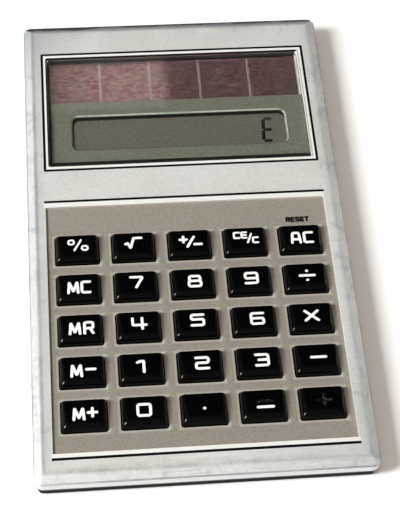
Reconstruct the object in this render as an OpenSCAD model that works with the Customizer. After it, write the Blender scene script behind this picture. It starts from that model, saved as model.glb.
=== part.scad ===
// Pocket solar calculator: a formed aluminium face on a moulded case, with sprung keys.
// Millimetres. X runs across, Y towards the display, Z up from the table to the face.

/* [Case] */
// Radius of the case's upright corners
corner_r = 1.8; // [1.7:0.1:2.6]
// Width of the aluminium between the key panel and the edge of the case
side_margin = 4.1; // [3.8:0.1:6]
// Length of the case in front of the key panel
front_margin = 6.4; // [6:0.1:9]
// Length of the case behind the window
back_margin = 10.3; // [9:0.1:13]
// Length of the bare strip between the key panel and the window
strip_l = 11.3; // [10.5:0.1:16]
// Width of the sloping edge of the aluminium face
bevel_w = 1.9; // [1.2:0.1:2.2]
// How far the sloping edge drops
bevel_drop = 0.85; // [0.6:0.05:1]
// Outer radius of the bend between the flat face and the sloping edge
bend_r = 2; // [1:0.1:3]
// Thickness of the aluminium sheet
plate_t = 0.5; // [0.4:0.05:0.6]
// Upright cut edge at the foot of the slope
plate_edge = 0.2; // [0.1:0.05:0.3]
// Open seam between the aluminium and the band of the front case
seam_gap = 0.2; // [0.1:0.05:0.3]
// Height of the band of the front case that shows at the side
band_h = 2.25; // [1.8:0.05:2.6]
// Wall of the moulded shells
shell_wall = 1.3; // [1.1:0.1:1.5]
// Thickness of the front case's deck under the aluminium
deck_t = 1; // [0.8:0.1:1.2]
// Thickness of the shoulder that joins the deck to the band
shoulder_t = 0.9; // [0.7:0.1:1]
// Radius of the upright corners of the deck and of the rear cover's well
inner_corner_r = 0.3; // [0.2:0.05:0.5]
// Width of the deck's rim beside its openings
deck_rim = 0.9; // [0.8:0.05:1]
// How far the rear cover stands back from the band
rear_step = 0.5; // [0.3:0.05:0.6]
// Radius along the rear cover's bottom edge
rear_edge_r = 1; // [0.6:0.05:1.1]
// Floor of the rear cover
floor_t = 1.2; // [1:0.1:1.3]
// Height of the rear cover's locating lip
lip_h = 1; // [0.6:0.1:1.2]
// Thickness of the locating lip
lip_t = 0.8; // [0.6:0.1:1]
// Clearance between fixed pieces that slip together
fit_gap = 0.15; // [0.1:0.05:0.2]

/* [Screws] */
// Diameter of the screw bosses
boss_d = 3.8; // [3.6:0.1:4.2]
// Distance of the bosses from the middle line
boss_x = 28; // [26:0.5:28.5]
// Height of the rear bosses above the floor
rear_boss_h = 1.4; // [1:0.1:1.6]
// Diameter of the screw shank
screw_d = 1.8; // [1.6:0.1:2]
// Diameter of the screw head
head_d = 3.2; // [2.8:0.1:3.4]
// Height of the screw head
head_h = 0.8; // [0.6:0.1:0.9]
// Taper round the screw head
head_taper = 0.3; // [0.1:0.05:0.4]
// Depth of the head below the rear face
head_sink = 0.3; // [0.2:0.05:0.4]
// Length of the shank
screw_l = 3.9; // [3:0.1:4]

/* [Keypad] */
// Distance between the key columns
key_pitch_x = 12.4; // [12:0.1:14]
// Distance between the key rows
key_pitch_y = 10; // [9.6:0.1:12]
// Width of a key
key_w = 9.4; // [8.6:0.1:10]
// Length of a key
key_l = 6.9; // [6.4:0.1:7.4]
// Height of a key above the key panel
key_rise = 1.7; // [1.4:0.1:2.4]
// Radius over a key's upper edges
key_crown_r = 1.2; // [0.8:0.1:1.3]
// Radius of a key's upright corners
key_corner_r = 0.6; // [0.4:0.1:0.9]
// Wall of the hollow key
key_wall = 0.9; // [0.8:0.1:1.1]
// Thickness of the key's roof
key_roof = 1.1; // [1:0.1:1.3]
// Diameter of the post under the key's roof
key_post_d = 3; // [2.6:0.1:3.2]
// How far the key's retaining flange stands out
key_flange = 0.5; // [0.4:0.05:0.6]
// Thickness of the retaining flange
key_flange_t = 0.5; // [0.4:0.05:0.6]
// Clearance around a key in the panel
key_gap = 0.2; // [0.15:0.05:0.25]
// Travel of a key
key_travel = 0.8; // [0.6:0.05:0.9]
// Thickness of the key panel
panel_t = 1; // [0.9:0.1:1.2]
// Panel beside the outer keys
panel_side = 1.9; // [1.5:0.1:4]
// Panel in front of the first row of keys
panel_front = 4.65; // [3.5:0.05:6]
// Panel behind the last row of keys
panel_back = 8; // [6:0.1:10]
// Lap of the key panel under the aluminium
panel_lap = 1.2; // [1:0.1:1.3]
// Diameter of the stakes that hold the board to the key panel
stake_d = 1.6; // [1.4:0.1:1.7]
// Diameter of a stake's melted head
stake_head_d = 2.8; // [2.4:0.1:3]
// Height of a stake's melted head
stake_head_h = 0.5; // [0.4:0.05:0.6]

/* [Rubber mat] */
// Thickness of the mat's sheet
mat_t = 0.4; // [0.3:0.05:0.5]
// Height of a dome above the sheet
dome_h = 1.4; // [1.3:0.05:1.5]
// Diameter of a dome at its foot
dome_d = 6; // [5.4:0.1:6.4]
// Diameter of a dome at its top
dome_top_d = 4; // [3.6:0.1:4.4]
// Wall of a dome
dome_wall = 0.45; // [0.4:0.05:0.5]
// Diameter of the contact pill inside a dome
pill_d = 2; // [1.6:0.1:2.2]
// Mat beyond the key flanges
mat_margin = 0.8; // [0.5:0.1:1]

/* [Window] */
// Aluminium beside the window, measured from the case's edge
window_side = 5.3; // [4.6:0.1:7]
// Length of the window
window_l = 31; // [30.5:0.1:34]
// Radius of the window's corners
window_r = 0.8; // [0.5:0.1:1.2]
// Bright cut round the window's upper edge
window_cut = 0.3; // [0.1:0.05:0.4]
// Depth of the lens below the face
lens_sink = 0.2; // [0.1:0.05:0.3]
// Clearance around the lens
lens_gap = 0.1; // [0.05:0.05:0.15]
// Thickness of the display bezel
bezel_t = 0.6; // [0.5:0.05:0.65]
// Lap of the bezel behind the front case
bezel_lap = 1.6; // [1.2:0.1:1.8]
// Bezel showing at the sides of the solar cells
cell_side = 0.9; // [0.6:0.1:1.5]
// Bezel showing behind the solar cells
cell_back = 0.5; // [0.4:0.1:0.9]
// Length of the solar cells that shows
cell_l = 12.1; // [11:0.1:12.6]
// Thickness of the solar panel's glass
cell_t = 1.1; // [0.9:0.05:1.2]
// Width of the display opening
lcd_w = 50.3; // [46:0.1:52]
// Length of the display opening
lcd_l = 9.5; // [8.5:0.1:10]
// Radius of the display opening's corners
lcd_r = 1.6; // [1:0.1:2]
// Width of the bevel round the display opening
lcd_bevel_w = 0.5; // [0.3:0.05:0.8]
// Depth of the bevel round the display opening
lcd_bevel_h = 0.25; // [0.2:0.05:0.45]
// Offset of the display opening from the middle line
lcd_x = 0.5; // [0:0.1:1]
// Bezel showing in front of the display opening
lcd_front = 4.8; // [4.4:0.1:5.2]
// Lap of the glass round the two bezel openings
glass_lap = 0.9; // [0.7:0.1:1.2]
// Least space between the solar panel and the display glass
pane_gap = 0.3; // [0.2:0.05:0.5]
// Thickness of each display glass
glass_t = 0.55; // [0.5:0.05:0.6]
// Thickness of the polarising films
film_t = 0.15; // [0.1:0.05:0.15]
// Ledge of the front glass that carries the contacts
ledge_l = 2.6; // [2.4:0.1:2.8]
// Width of the rubber connectors
connector_w = 1.8; // [1.6:0.1:2]

/* [Board] */
// Thickness of the circuit board
board_t = 1; // [0.8:0.1:1.1]
// Space between the floor of the rear cover and the board
under_gap = 1; // [0.9:0.05:1.5]
// Gap between the board and the lip beside it
board_side = 1.5; // [1:0.1:2]
// Clearance around what passes through the board
board_gap = 0.3; // [0.2:0.05:0.4]
// Diameter of the cover over the chip
chip_d = 9; // [8:0.1:11]
// Height of the cover over the chip
chip_h = 0.7; // [0.5:0.05:0.75]
// Diameter of the supply capacitor
cap_d = 3.5; // [3:0.1:3.8]
// Length of the supply capacitor
cap_l = 6; // [5:0.1:7]
// Place of the supply capacitor across the board
cap_x = 9; // [6:0.5:12]
// Spacing of the supply capacitor's leads
cap_pitch = 1.5; // [1:0.1:1.6]
// Length of the supply capacitor's leads
cap_lead_l = 2; // [1.5:0.1:3]
// Spacing of the small parts' leads
lead_pitch = 7; // [6:0.5:8]
// Diameter of the leads
lead_d = 0.4; // [0.3:0.05:0.5]
// Diameter of the limiter diode
diode_d = 1.5; // [1.2:0.1:1.7]
// Length of the limiter diode
diode_l = 3.2; // [2.8:0.1:4]
// Diameter of the resistor
resistor_d = 1.6; // [1.4:0.1:1.7]
// Length of the resistor
resistor_l = 3.6; // [3:0.1:4]
// Size of the foam pads under the solar panel
pad_l = 9; // [6:0.5:10]

/* [Hidden] */
$fn = 48;
// Reach of a cut past the face that it opens
over = 1;

KEYS = [
    ["key_percent", "key_root", "key_sign", "key_clear_entry", "key_all_clear"],
    ["key_memory_clear", "key_7", "key_8", "key_9", "key_divide"],
    ["key_memory_recall", "key_4", "key_5", "key_6", "key_multiply"],
    ["key_memory_minus", "key_1", "key_2", "key_3", "key_minus"],
    ["key_memory_plus", "key_0", "key_point", "key_equals", "key_plus"]
];
rows = len(KEYS);
cols = len(KEYS[0]);

// Plan: the case is as long and as wide as what lies on its face
panel_w = (cols - 1) * key_pitch_x + key_w + 2 * panel_side;
panel_l = (rows - 1) * key_pitch_y + key_l + panel_front + panel_back;
case_w = panel_w + 2 * side_margin;
case_l = front_margin + panel_l + strip_l + window_l + back_margin;
panel_y = -case_l / 2 + front_margin + panel_l / 2;
keypad_y = panel_y - panel_l / 2 + panel_front + key_l / 2 + (rows - 1) / 2 * key_pitch_y;
strip_y = panel_y + panel_l / 2 + strip_l / 2;
window_w = case_w - 2 * window_side;
window_y = case_l / 2 - back_margin - window_l / 2;
cell_w = window_w - 2 * cell_side;
cell_y = window_y + window_l / 2 - cell_back - cell_l / 2;
lcd_y = window_y - window_l / 2 + lcd_front + lcd_l / 2;
face_w = case_w - 2 * bevel_w;
face_l = case_l - 2 * bevel_w;
inner_w = case_w - 2 * shell_wall;
inner_l = case_l - 2 * shell_wall;
inner_r = corner_r - shell_wall;
lip_w = inner_w - 2 * fit_gap;
lip_l = inner_l - 2 * fit_gap;
lip_r = inner_r - fit_gap;
rear_w = case_w - 2 * rear_step;
rear_l = case_l - 2 * rear_step;
rear_r = corner_r - rear_step;

// Heights: the board stands over the floor, the keypad on the board and the face on the keypad
board_under = floor_t + under_gap;
board_top = board_under + board_t;
sheet_top = board_top + mat_t;
flange_under = sheet_top + dome_h;
panel_under = flange_under + key_flange_t;
deck_top = panel_under + panel_t;
face_h = deck_top + plate_t;
key_top = deck_top + key_rise;
deck_under = deck_top - deck_t;
rim_under = face_h - bevel_drop - plate_edge;
band_top = rim_under - seam_gap;
joint_z = band_top - band_h;
shoulder_under = band_top - shoulder_t;
bezel_under = deck_under - bezel_t;
cell_under = bezel_under - cell_t;
front_glass_top = bezel_under - film_t;
rear_glass_top = front_glass_top - glass_t;
reflector_top = rear_glass_top - glass_t;

// Angle of the slope, and the length of sheet that its bend takes up on each side of the corner
bevel_tilt = atan(bevel_drop / bevel_w);
bend_run = bend_r * tan(bevel_tilt / 2);

// Screws: two in front, two under the bare strip, two behind
boss_reach = bevel_w + deck_rim + boss_d / 2 - fit_gap;
boss_ys = [-case_l / 2 + boss_reach, strip_y, case_l / 2 - boss_reach];
boss_joint_z = floor_t + rear_boss_h;
head_seat_z = head_sink + head_h;
screw_gap = 0.05;
pilot_end = 0.2;

// Glass panes behind the bezel, which share the bar between its two openings
bar_l = window_l - lcd_front - lcd_l - cell_l - cell_back;
bar_lap = min(glass_lap, (bar_l - pane_gap) / 2);
cell_glass_w = cell_w + 2 * glass_lap;
cell_glass_y0 = cell_y - cell_l / 2 - bar_lap;
cell_glass_y1 = cell_y + cell_l / 2 + glass_lap;
lcd_glass_w = lcd_w + 2 * glass_lap;
lcd_glass_y0 = lcd_y - lcd_l / 2 - glass_lap;
lcd_glass_y1 = lcd_y + lcd_l / 2 + bar_lap;

// Board
board_w = lip_w - 2 * lip_t - 2 * board_side;
board_front = boss_ys[0] + boss_d / 2 + board_gap;
board_back = boss_ys[2] - boss_d / 2 - board_gap;

function key_x(col) = (col - (cols - 1) / 2) * key_pitch_x;
function key_y(row) = keypad_y + ((rows - 1) / 2 - row) * key_pitch_y;

// Crossings of the gaps between keys that carry a stake
function stake_places() = [
    for (side = [-1, 1])
        for (row = [0 : rows - 2])
            [side * (cols - 2) / 2 * key_pitch_x, (key_y(row) + key_y(row + 1)) / 2]
];

// Rectangle with round corners
module rounded_rect(w, l, r) {
    square([w - 2 * r, l], center = true);
    square([w, l - 2 * r], center = true);
    for (x = [-1, 1])
        for (y = [-1, 1])
            translate([x * (w / 2 - r), y * (l / 2 - r)])
                circle(r);
}

module slab(w, l, r, z0, z1) {
    translate([0, 0, z0])
        linear_extrude(z1 - z0)
            rounded_rect(w, l, r);
}

module block(w, l, z0, z1) {
    translate([-w / 2, -l / 2, z0])
        cube([w, l, z1 - z0]);
}

// Block that runs from y0 to y1
module pane(w, y0, y1, z0, z1) {
    translate([-w / 2, y0, z0])
        cube([w, y1 - y0, z1 - z0]);
}

// Sweeps a profile round the slab's outline. The profile's x is 0 at the outline, below 0 inside it
module swept_rim(w, l, r) {
    for (turn = [0, 1]) {
        half = turn == 0 ? w / 2 : l / 2;
        run = (turn == 0 ? l : w) - 2 * r;
        for (side = [0, 1])
            rotate(90 * turn + 180 * side)
                translate([half, run / 2, 0])
                    rotate([90, 0, 0])
                        linear_extrude(run)
                            children();
    }
    for (x = [0, 1])
        for (y = [0, 1])
            mirror([x, 0, 0])
                mirror([0, y, 0])
                    translate([w / 2 - r, l / 2 - r, 0])
                        rotate_extrude(angle = 90)
                            translate([r, 0])
                                children();
}

module at_bosses() {
    for (x = [-boss_x, boss_x])
        for (y = boss_ys)
            translate([x, y, 0])
                children();
}

// Runs an upright profile along Y, past both ends of a length l
module along_y(l) {
    translate([0, l, 0])
        rotate([90, 0, 0])
            linear_extrude(2 * l)
                children();
}

// Runs an upright profile along X, past both ends of a width w
module along_x(w) {
    translate([-w, 0, 0])
        rotate([90, 0, 90])
            linear_extrude(2 * w)
                children();
}

// What the bend takes off the sharp corner between face and slope
module bend_cut() {
    difference() {
        polygon([
            [-bend_run, 0],
            [-bend_run, over],
            [bend_run * cos(bevel_tilt) + over * sin(bevel_tilt),
             over * cos(bevel_tilt) - bend_run * sin(bevel_tilt)],
            [bend_run * cos(bevel_tilt), -bend_run * sin(bevel_tilt)]
        ]);
        translate([-bend_run, -bend_r])
            circle(bend_r);
    }
}

// Outside of the sheet: upright cut edges, slopes that bend into the flat face
module skin_profile(w) {
    difference() {
        polygon([
            [-w / 2, rim_under],
            [w / 2, rim_under],
            [w / 2, rim_under + plate_edge],
            [w / 2 - bevel_w, face_h],
            [bevel_w - w / 2, face_h],
            [-w / 2, rim_under + plate_edge]
        ]);
        for (side = [0, 1])
            mirror([side, 0])
                translate([w / 2 - bevel_w, face_h])
                    bend_cut();
    }
}

// Room under the sheet
module room_profile(w) {
    foot_w = bevel_w - (deck_top - rim_under) * bevel_w / bevel_drop;
    polygon([
        [foot_w - w / 2, rim_under - over],
        [w / 2 - foot_w, rim_under - over],
        [w / 2 - foot_w, rim_under],
        [w / 2 - bevel_w, deck_top],
        [bevel_w - w / 2, deck_top],
        [foot_w - w / 2, rim_under]
    ]);
}

// Sunk edge to cut along an opening: x is 0 at the opening's outline, above 0 outside it
module edge_cut(inner_x, w, h, top) {
    polygon([
        [inner_x, top - h],
        [0, top - h],
        [w, top],
        [w, top + h],
        [inner_x, top + h]
    ]);
}

// Aluminium sheet, pressed to a flat face with a sloping edge all round that meets in mitres at the corners
module faceplate() {
    color("gainsboro")
        difference() {
            intersection() {
                slab(case_w, case_l, corner_r, rim_under - over, face_h + over);
                along_y(case_l)
                    skin_profile(case_w);
                along_x(case_w)
                    skin_profile(case_l);
            }
            intersection() {
                along_y(case_l)
                    room_profile(case_w);
                along_x(case_w)
                    room_profile(case_l);
            }
            translate([0, window_y, 0]) {
                slab(window_w, window_l, window_r, deck_top - over, face_h + over);
                swept_rim(window_w, window_l, window_r)
                    edge_cut(-window_r / 2, window_cut, window_cut, face_h);
            }
            translate([0, panel_y, 0])
                block(panel_w, panel_l, deck_top - over, face_h + over);
        }
}

// Moulded panel that guides the keys, with stakes that hold the board
module key_panel() {
    hole_w = key_w + 2 * key_gap;
    hole_l = key_l + 2 * key_gap;
    color("rosybrown") {
        difference() {
            translate([0, panel_y, 0])
                block(panel_w + 2 * panel_lap, panel_l + 2 * panel_lap, panel_under, deck_top);
            for (row = [0 : rows - 1])
                for (col = [0 : cols - 1])
                    translate([key_x(col), key_y(row), 0])
                        slab(hole_w, hole_l, key_corner_r + key_gap, panel_under - over, deck_top + over);
        }
        for (place = stake_places())
            translate([place[0], place[1], 0]) {
                translate([0, 0, board_under - stake_head_h / 2])
                    cylinder(h = panel_under + panel_t / 2 - board_under + stake_head_h / 2, d = stake_d);
                translate([0, 0, board_under - stake_head_h])
                    cylinder(h = stake_head_h, d1 = stake_d, d2 = stake_head_d);
            }
    }
}

// Moulded upper shell: the band at the side, the deck under the aluminium and the screw bosses
module front_case() {
    color("lightgray")
        difference() {
            union() {
                difference() {
                    union() {
                        slab(case_w, case_l, corner_r, joint_z, band_top);
                        slab(face_w, face_l, inner_corner_r, band_top - shoulder_t / 2, deck_top);
                    }
                    slab(inner_w, inner_l, inner_r, joint_z - over, shoulder_under);
                    block(face_w - 2 * deck_rim, face_l - 2 * deck_rim, joint_z - over, deck_under);
                }
                at_bosses()
                    translate([0, 0, boss_joint_z])
                        cylinder(h = deck_under + deck_t / 2 - boss_joint_z, d = boss_d);
            }
            at_bosses()
                translate([0, 0, boss_joint_z - over])
                    cylinder(h = screw_l + head_seat_z + pilot_end - boss_joint_z + over,
                             d = screw_d + 2 * screw_gap);
            translate([0, window_y, 0])
                slab(window_w, window_l, window_r, deck_under - over, deck_top + over);
            translate([0, panel_y, 0])
                block(panel_w + 2 * panel_lap + 2 * fit_gap, panel_l + 2 * panel_lap + 2 * fit_gap,
                      panel_under, deck_top + over);
        }
}

// Moulded tray that closes the back, with a lip that locates in the front case
module rear_cover() {
    color("dimgray")
        difference() {
            union() {
                difference() {
                    union() {
                        slab(rear_w, rear_l, rear_r, rear_edge_r, joint_z);
                        slab(rear_w - 2 * rear_edge_r, rear_l - 2 * rear_edge_r, rear_r - rear_edge_r,
                             0, rear_edge_r);
                        swept_rim(rear_w, rear_l, rear_r)
                            intersection() {
                                translate([-rear_edge_r, rear_edge_r])
                                    circle(rear_edge_r);
                                translate([-rear_edge_r, 0])
                                    square(rear_edge_r);
                            }
                        slab(lip_w, lip_l, lip_r, joint_z - lip_h, joint_z + lip_h);
                    }
                    slab(lip_w - 2 * lip_t, lip_l - 2 * lip_t, inner_corner_r,
                         floor_t, joint_z + lip_h + over);
                }
                at_bosses()
                    translate([0, 0, floor_t / 2])
                        cylinder(h = boss_joint_z - floor_t / 2, d = boss_d);
            }
            at_bosses() {
                translate([0, 0, -over])
                    cylinder(h = boss_joint_z + 2 * over, d = screw_d + 2 * fit_gap);
                translate([0, 0, -over])
                    cylinder(h = head_seat_z + over, d = head_d + 2 * fit_gap);
            }
        }
}

// Self-tapping screws that hold the two shells together
module case_screws() {
    color("silver")
        at_bosses() {
            translate([0, 0, head_sink])
                cylinder(h = head_h / 2, d1 = head_d - 2 * head_taper, d2 = head_d);
            translate([0, 0, head_sink + head_h / 2])
                cylinder(h = head_h / 2, d = head_d);
            translate([0, 0, head_seat_z])
                cylinder(h = screw_l - screw_d / 2, d = screw_d);
            translate([0, 0, head_seat_z + screw_l - screw_d / 2])
                cylinder(h = screw_d / 2, d1 = screw_d, d2 = screw_d / 3);
        }
}

// Clear acrylic lens, dropped into the window against the bezel
module window_lens() {
    color("lightcyan", 0.3)
        translate([0, window_y, 0])
            slab(window_w - 2 * lens_gap, window_l - 2 * lens_gap, window_r - lens_gap / 2,
                 deck_under, face_h - lens_sink);
}

// Frame behind the lens with an opening for the cells and one for the display
module display_bezel() {
    color("darkseagreen")
        difference() {
            translate([0, window_y, 0])
                block(window_w + 2 * bezel_lap, window_l + 2 * bezel_lap, bezel_under, deck_under);
            translate([0, cell_y, 0])
                block(cell_w, cell_l, bezel_under - over, deck_under + over);
            translate([lcd_x, lcd_y, 0]) {
                slab(lcd_w, lcd_l, lcd_r, bezel_under - over, deck_under + over);
                swept_rim(lcd_w, lcd_l, lcd_r)
                    edge_cut(-lcd_r / 2, lcd_bevel_w, lcd_bevel_h, deck_under);
            }
        }
}

// Glass plate with the row of thin-film solar cells on its back
module solar_panel() {
    color("saddlebrown")
        pane(cell_glass_w, cell_glass_y0, cell_glass_y1, cell_under, bezel_under);
}

// Foam pads that press the solar panel against the bezel
module solar_pads() {
    color("darkslategray")
        for (side = [-1, 1])
            translate([side * cell_w / 4, cell_y, 0])
                block(pad_l, pad_l, board_top, cell_under);
}

// Conductive rubber blocks that join the ends of the solar panel to the board
module cell_contacts() {
    color("black")
        for (side = [-1, 1])
            translate([side * (cell_w / 2 - connector_w), cell_y, 0])
                block(connector_w, pad_l, board_top, cell_under);
}

module front_polariser() {
    color("gray")
        translate([lcd_x, 0, 0])
            pane(lcd_glass_w, lcd_glass_y0, lcd_glass_y1, front_glass_top, bezel_under);
}

// The front glass reaches past the rear one, and its ledge carries the contacts
module lcd_front_glass() {
    color("lightgray")
        translate([lcd_x, 0, 0])
            pane(lcd_glass_w, lcd_glass_y0 - ledge_l, lcd_glass_y1, rear_glass_top, front_glass_top);
}

module lcd_rear_glass() {
    color("lightgray")
        translate([lcd_x, 0, 0])
            pane(lcd_glass_w, lcd_glass_y0, lcd_glass_y1, reflector_top, rear_glass_top);
}

module rear_reflector() {
    color("silver")
        translate([lcd_x, 0, 0])
            pane(lcd_glass_w, lcd_glass_y0, lcd_glass_y1, reflector_top - film_t, reflector_top);
}

// Striped rubber connector between the board and the ledge of the front glass
module lcd_connector() {
    color("pink")
        translate([lcd_x, lcd_glass_y0 - ledge_l / 2, 0])
            block(lcd_w, connector_w, board_top, rear_glass_top);
}

// Circuit board, staked to the key panel
module main_board() {
    board_l = board_back - board_front;
    color("peru")
        difference() {
            translate([0, (board_front + board_back) / 2, 0])
                block(board_w, board_l, board_under, board_top);
            at_bosses()
                translate([0, 0, board_under - over])
                    cylinder(h = board_t + 2 * over, d = boss_d + 2 * board_gap);
            for (place = stake_places())
                translate([place[0], place[1], board_under - over])
                    cylinder(h = board_t + 2 * over, d = stake_d + 2 * screw_gap);
            translate([cap_x, strip_y, 0])
                block(cap_l + 2 * board_gap, cap_d + 2 * board_gap, board_under - over, board_top + over);
        }
}

// Drop of resin over the chip, under the board
module chip_cover() {
    round_r = (chip_d * chip_d / 4 + chip_h * chip_h) / (2 * chip_h);
    color("black")
        translate([lcd_x, lcd_y, board_under - chip_h])
            rotate_extrude()
                intersection() {
                    translate([0, round_r])
                        circle(round_r, $fn = 360);
                    square([chip_d / 2, chip_h]);
                }
}

// Small can in a slot of the board, with two leads that lie on the board
module supply_capacitor() {
    lead_z = board_top + lead_d / 2;
    color("midnightblue")
        translate([cap_x - cap_l / 2, strip_y, lead_z])
            rotate([0, 90, 0]) {
                cylinder(h = cap_l, d = cap_d);
                for (side = [-1, 1])
                    translate([0, side * cap_pitch / 2, cap_l - lead_d])
                        cylinder(h = cap_lead_l + lead_d, d = lead_d);
            }
}

// Part with a lead at each end, standing on the board
module axial_part(body_d, body_l) {
    axis_z = board_top + body_d / 2;
    translate([-body_l / 2, 0, axis_z])
        rotate([0, 90, 0])
            cylinder(h = body_l, d = body_d);
    translate([-lead_pitch / 2, 0, axis_z])
        rotate([0, 90, 0])
            cylinder(h = lead_pitch, d = lead_d);
    for (side = [-1, 1])
        translate([side * lead_pitch / 2, 0, 0]) {
            translate([0, 0, board_top])
                cylinder(h = axis_z - board_top, d = lead_d);
            translate([0, 0, axis_z])
                sphere(d = lead_d);
        }
}

module limiter_diode() {
    color("orange")
        translate([-cap_x, strip_y + diode_d, 0])
            axial_part(diode_d, diode_l);
}

module bias_resistor() {
    color("tan")
        translate([-cap_x, strip_y - resistor_d, 0])
            axial_part(resistor_d, resistor_l);
}

// Silicone mat with a hollow dome and a contact pill under every key
module rubber_mat() {
    flange_reach = 2 * key_flange + 2 * mat_margin;
    mat_w = (cols - 1) * key_pitch_x + key_w + flange_reach;
    mat_l = (rows - 1) * key_pitch_y + key_l + flange_reach;
    dome_roof = (dome_h + mat_t - key_travel) / 2;
    color("lightslategray") {
        difference() {
            union() {
                translate([0, keypad_y, 0])
                    block(mat_w, mat_l, board_top, sheet_top);
                at_keys()
                    translate([0, 0, sheet_top])
                        cylinder(h = dome_h, d1 = dome_d, d2 = dome_top_d);
            }
            at_keys()
                translate([0, 0, board_top]) {
                    translate([0, 0, -over])
                        cylinder(h = over + mat_t, d = dome_d - 2 * dome_wall);
                    translate([0, 0, mat_t])
                        cylinder(h = dome_h - dome_roof, d1 = dome_d - 2 * dome_wall,
                                 d2 = dome_top_d - dome_wall);
                }
            for (place = stake_places())
                translate([place[0], place[1], board_top - over])
                    cylinder(h = mat_t + 2 * over, d = stake_d + 2 * fit_gap);
        }
        at_keys()
            translate([0, 0, board_top + key_travel])
                cylinder(h = flange_under - dome_roof / 2 - board_top - key_travel, d = pill_d);
    }
}

module at_keys() {
    for (row = [0 : rows - 1])
        for (col = [0 : cols - 1])
            translate([key_x(col), key_y(row), 0])
                children();
}

// Upright outline with a round at both upper corners
module crown_profile(w, z0, z1) {
    translate([-w / 2, z0])
        square([w, z1 - key_crown_r - z0]);
    translate([-w / 2 + key_crown_r, z0])
        square([w - 2 * key_crown_r, z1 - z0]);
    for (side = [-1, 1])
        translate([side * (w / 2 - key_crown_r), z1 - key_crown_r])
            circle(key_crown_r);
}

// Hollow moulded key: round-edged crown, retaining flange and the post that presses the dome
module key_cap(row, col) {
    color("black")
        translate([key_x(col), key_y(row), 0]) {
            difference() {
                union() {
                    slab(key_w + 2 * key_flange, key_l + 2 * key_flange, key_corner_r + key_flange,
                         flange_under, panel_under);
                    intersection() {
                        slab(key_w, key_l, key_corner_r, flange_under, key_top + over);
                        along_y(key_l)
                            crown_profile(key_w, flange_under, key_top);
                        along_x(key_w)
                            crown_profile(key_l, flange_under, key_top);
                    }
                }
                block(key_w - 2 * key_wall, key_l - 2 * key_wall, flange_under - over, key_top - key_roof);
            }
            translate([0, 0, flange_under])
                cylinder(h = key_top - key_roof / 2 - flange_under, d = key_post_d);
        }
}

faceplate();
key_panel();
front_case();
rear_cover();
case_screws();
window_lens();
display_bezel();
solar_panel();
solar_pads();
cell_contacts();
front_polariser();
lcd_front_glass();
lcd_rear_glass();
rear_reflector();
lcd_connector();
main_board();
chip_cover();
supply_capacitor();
limiter_diode();
bias_resistor();
rubber_mat();
for (row = [0 : rows - 1])
    for (col = [0 : cols - 1])
        key_cap(row, col);
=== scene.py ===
"""A pocket solar calculator, dressed piece by piece in the order in which it is put together.

Lengths are in metres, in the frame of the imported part: X across, Y towards the display, Z up.
"""
import math

import bmesh
import bpy
from mathutils import Matrix, Vector


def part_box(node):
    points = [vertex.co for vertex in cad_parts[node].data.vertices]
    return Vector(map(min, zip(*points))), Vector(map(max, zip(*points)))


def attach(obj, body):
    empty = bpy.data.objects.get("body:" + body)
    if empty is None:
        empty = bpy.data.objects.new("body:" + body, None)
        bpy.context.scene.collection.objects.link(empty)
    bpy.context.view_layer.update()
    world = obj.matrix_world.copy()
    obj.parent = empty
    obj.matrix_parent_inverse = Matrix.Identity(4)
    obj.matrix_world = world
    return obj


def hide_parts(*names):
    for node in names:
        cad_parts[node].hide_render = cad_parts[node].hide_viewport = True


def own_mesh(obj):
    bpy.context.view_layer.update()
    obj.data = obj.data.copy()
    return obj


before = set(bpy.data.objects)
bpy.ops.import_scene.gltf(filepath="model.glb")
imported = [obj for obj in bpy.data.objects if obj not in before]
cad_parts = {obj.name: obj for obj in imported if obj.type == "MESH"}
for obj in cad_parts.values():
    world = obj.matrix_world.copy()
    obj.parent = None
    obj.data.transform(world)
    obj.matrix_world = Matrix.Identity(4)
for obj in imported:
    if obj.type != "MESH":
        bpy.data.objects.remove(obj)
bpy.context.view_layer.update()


# Rear cover: a shallow tray moulded in black plastic and sparked to a fine texture outside.
# Its lip sits inside the front case, and six screws from below hold it there.
mm = 0.001


def add(tree, kind, inputs=None, **settings):
    """Adds a node with its settings; an input is a plain value or another node's output."""
    made = tree.nodes.new(kind)
    for name, value in settings.items():
        setattr(made, name, value)
    for name, value in (inputs or {}).items():
        if isinstance(value, bpy.types.NodeSocket):
            tree.links.new(value, made.inputs[name])
        else:
            made.inputs[name].default_value = value
    return made


def calc(tree, operation, *values):
    """One step of reckoning on outputs or plain numbers."""
    return add(tree, "ShaderNodeMath", dict(enumerate(values)), operation=operation).outputs[0]


def fade(tree, value, start, stop, low=0.0, high=1.0, kind="LINEAR"):
    """Goes from low to high as value goes from start to stop."""
    inputs = {"Value": value, "From Min": start, "From Max": stop, "To Min": low, "To Max": high}
    return add(tree, "ShaderNodeMapRange", inputs, interpolation_type=kind).outputs[0]


def noise(tree, place, scale, detail, rough=0.5, warp=0.0):
    """Cloudy noise, with its scale in features to a metre."""
    inputs = {"Vector": place, "Scale": scale, "Detail": detail, "Roughness": rough, "Distortion": warp}
    return add(tree, "ShaderNodeTexNoise", inputs).outputs[0]


def spot(tree):
    """The place of a point in the part's frame."""
    return add(tree, "ShaderNodeTexCoord").outputs["Object"]


def axes(tree, vector):
    """The X, Y and Z of a vector."""
    return add(tree, "ShaderNodeSeparateXYZ", {0: vector}).outputs


def blended(tree, amount, first, second):
    """Goes from the first colour to the second as amount goes from 0 to 1."""
    inputs = {0: amount}
    for place, colour in ((6, first), (7, second)):
        inputs[place] = (*colour, 1.0) if isinstance(colour, tuple) else colour
    return add(tree, "ShaderNodeMix", inputs, data_type="RGBA").outputs[2]


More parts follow.
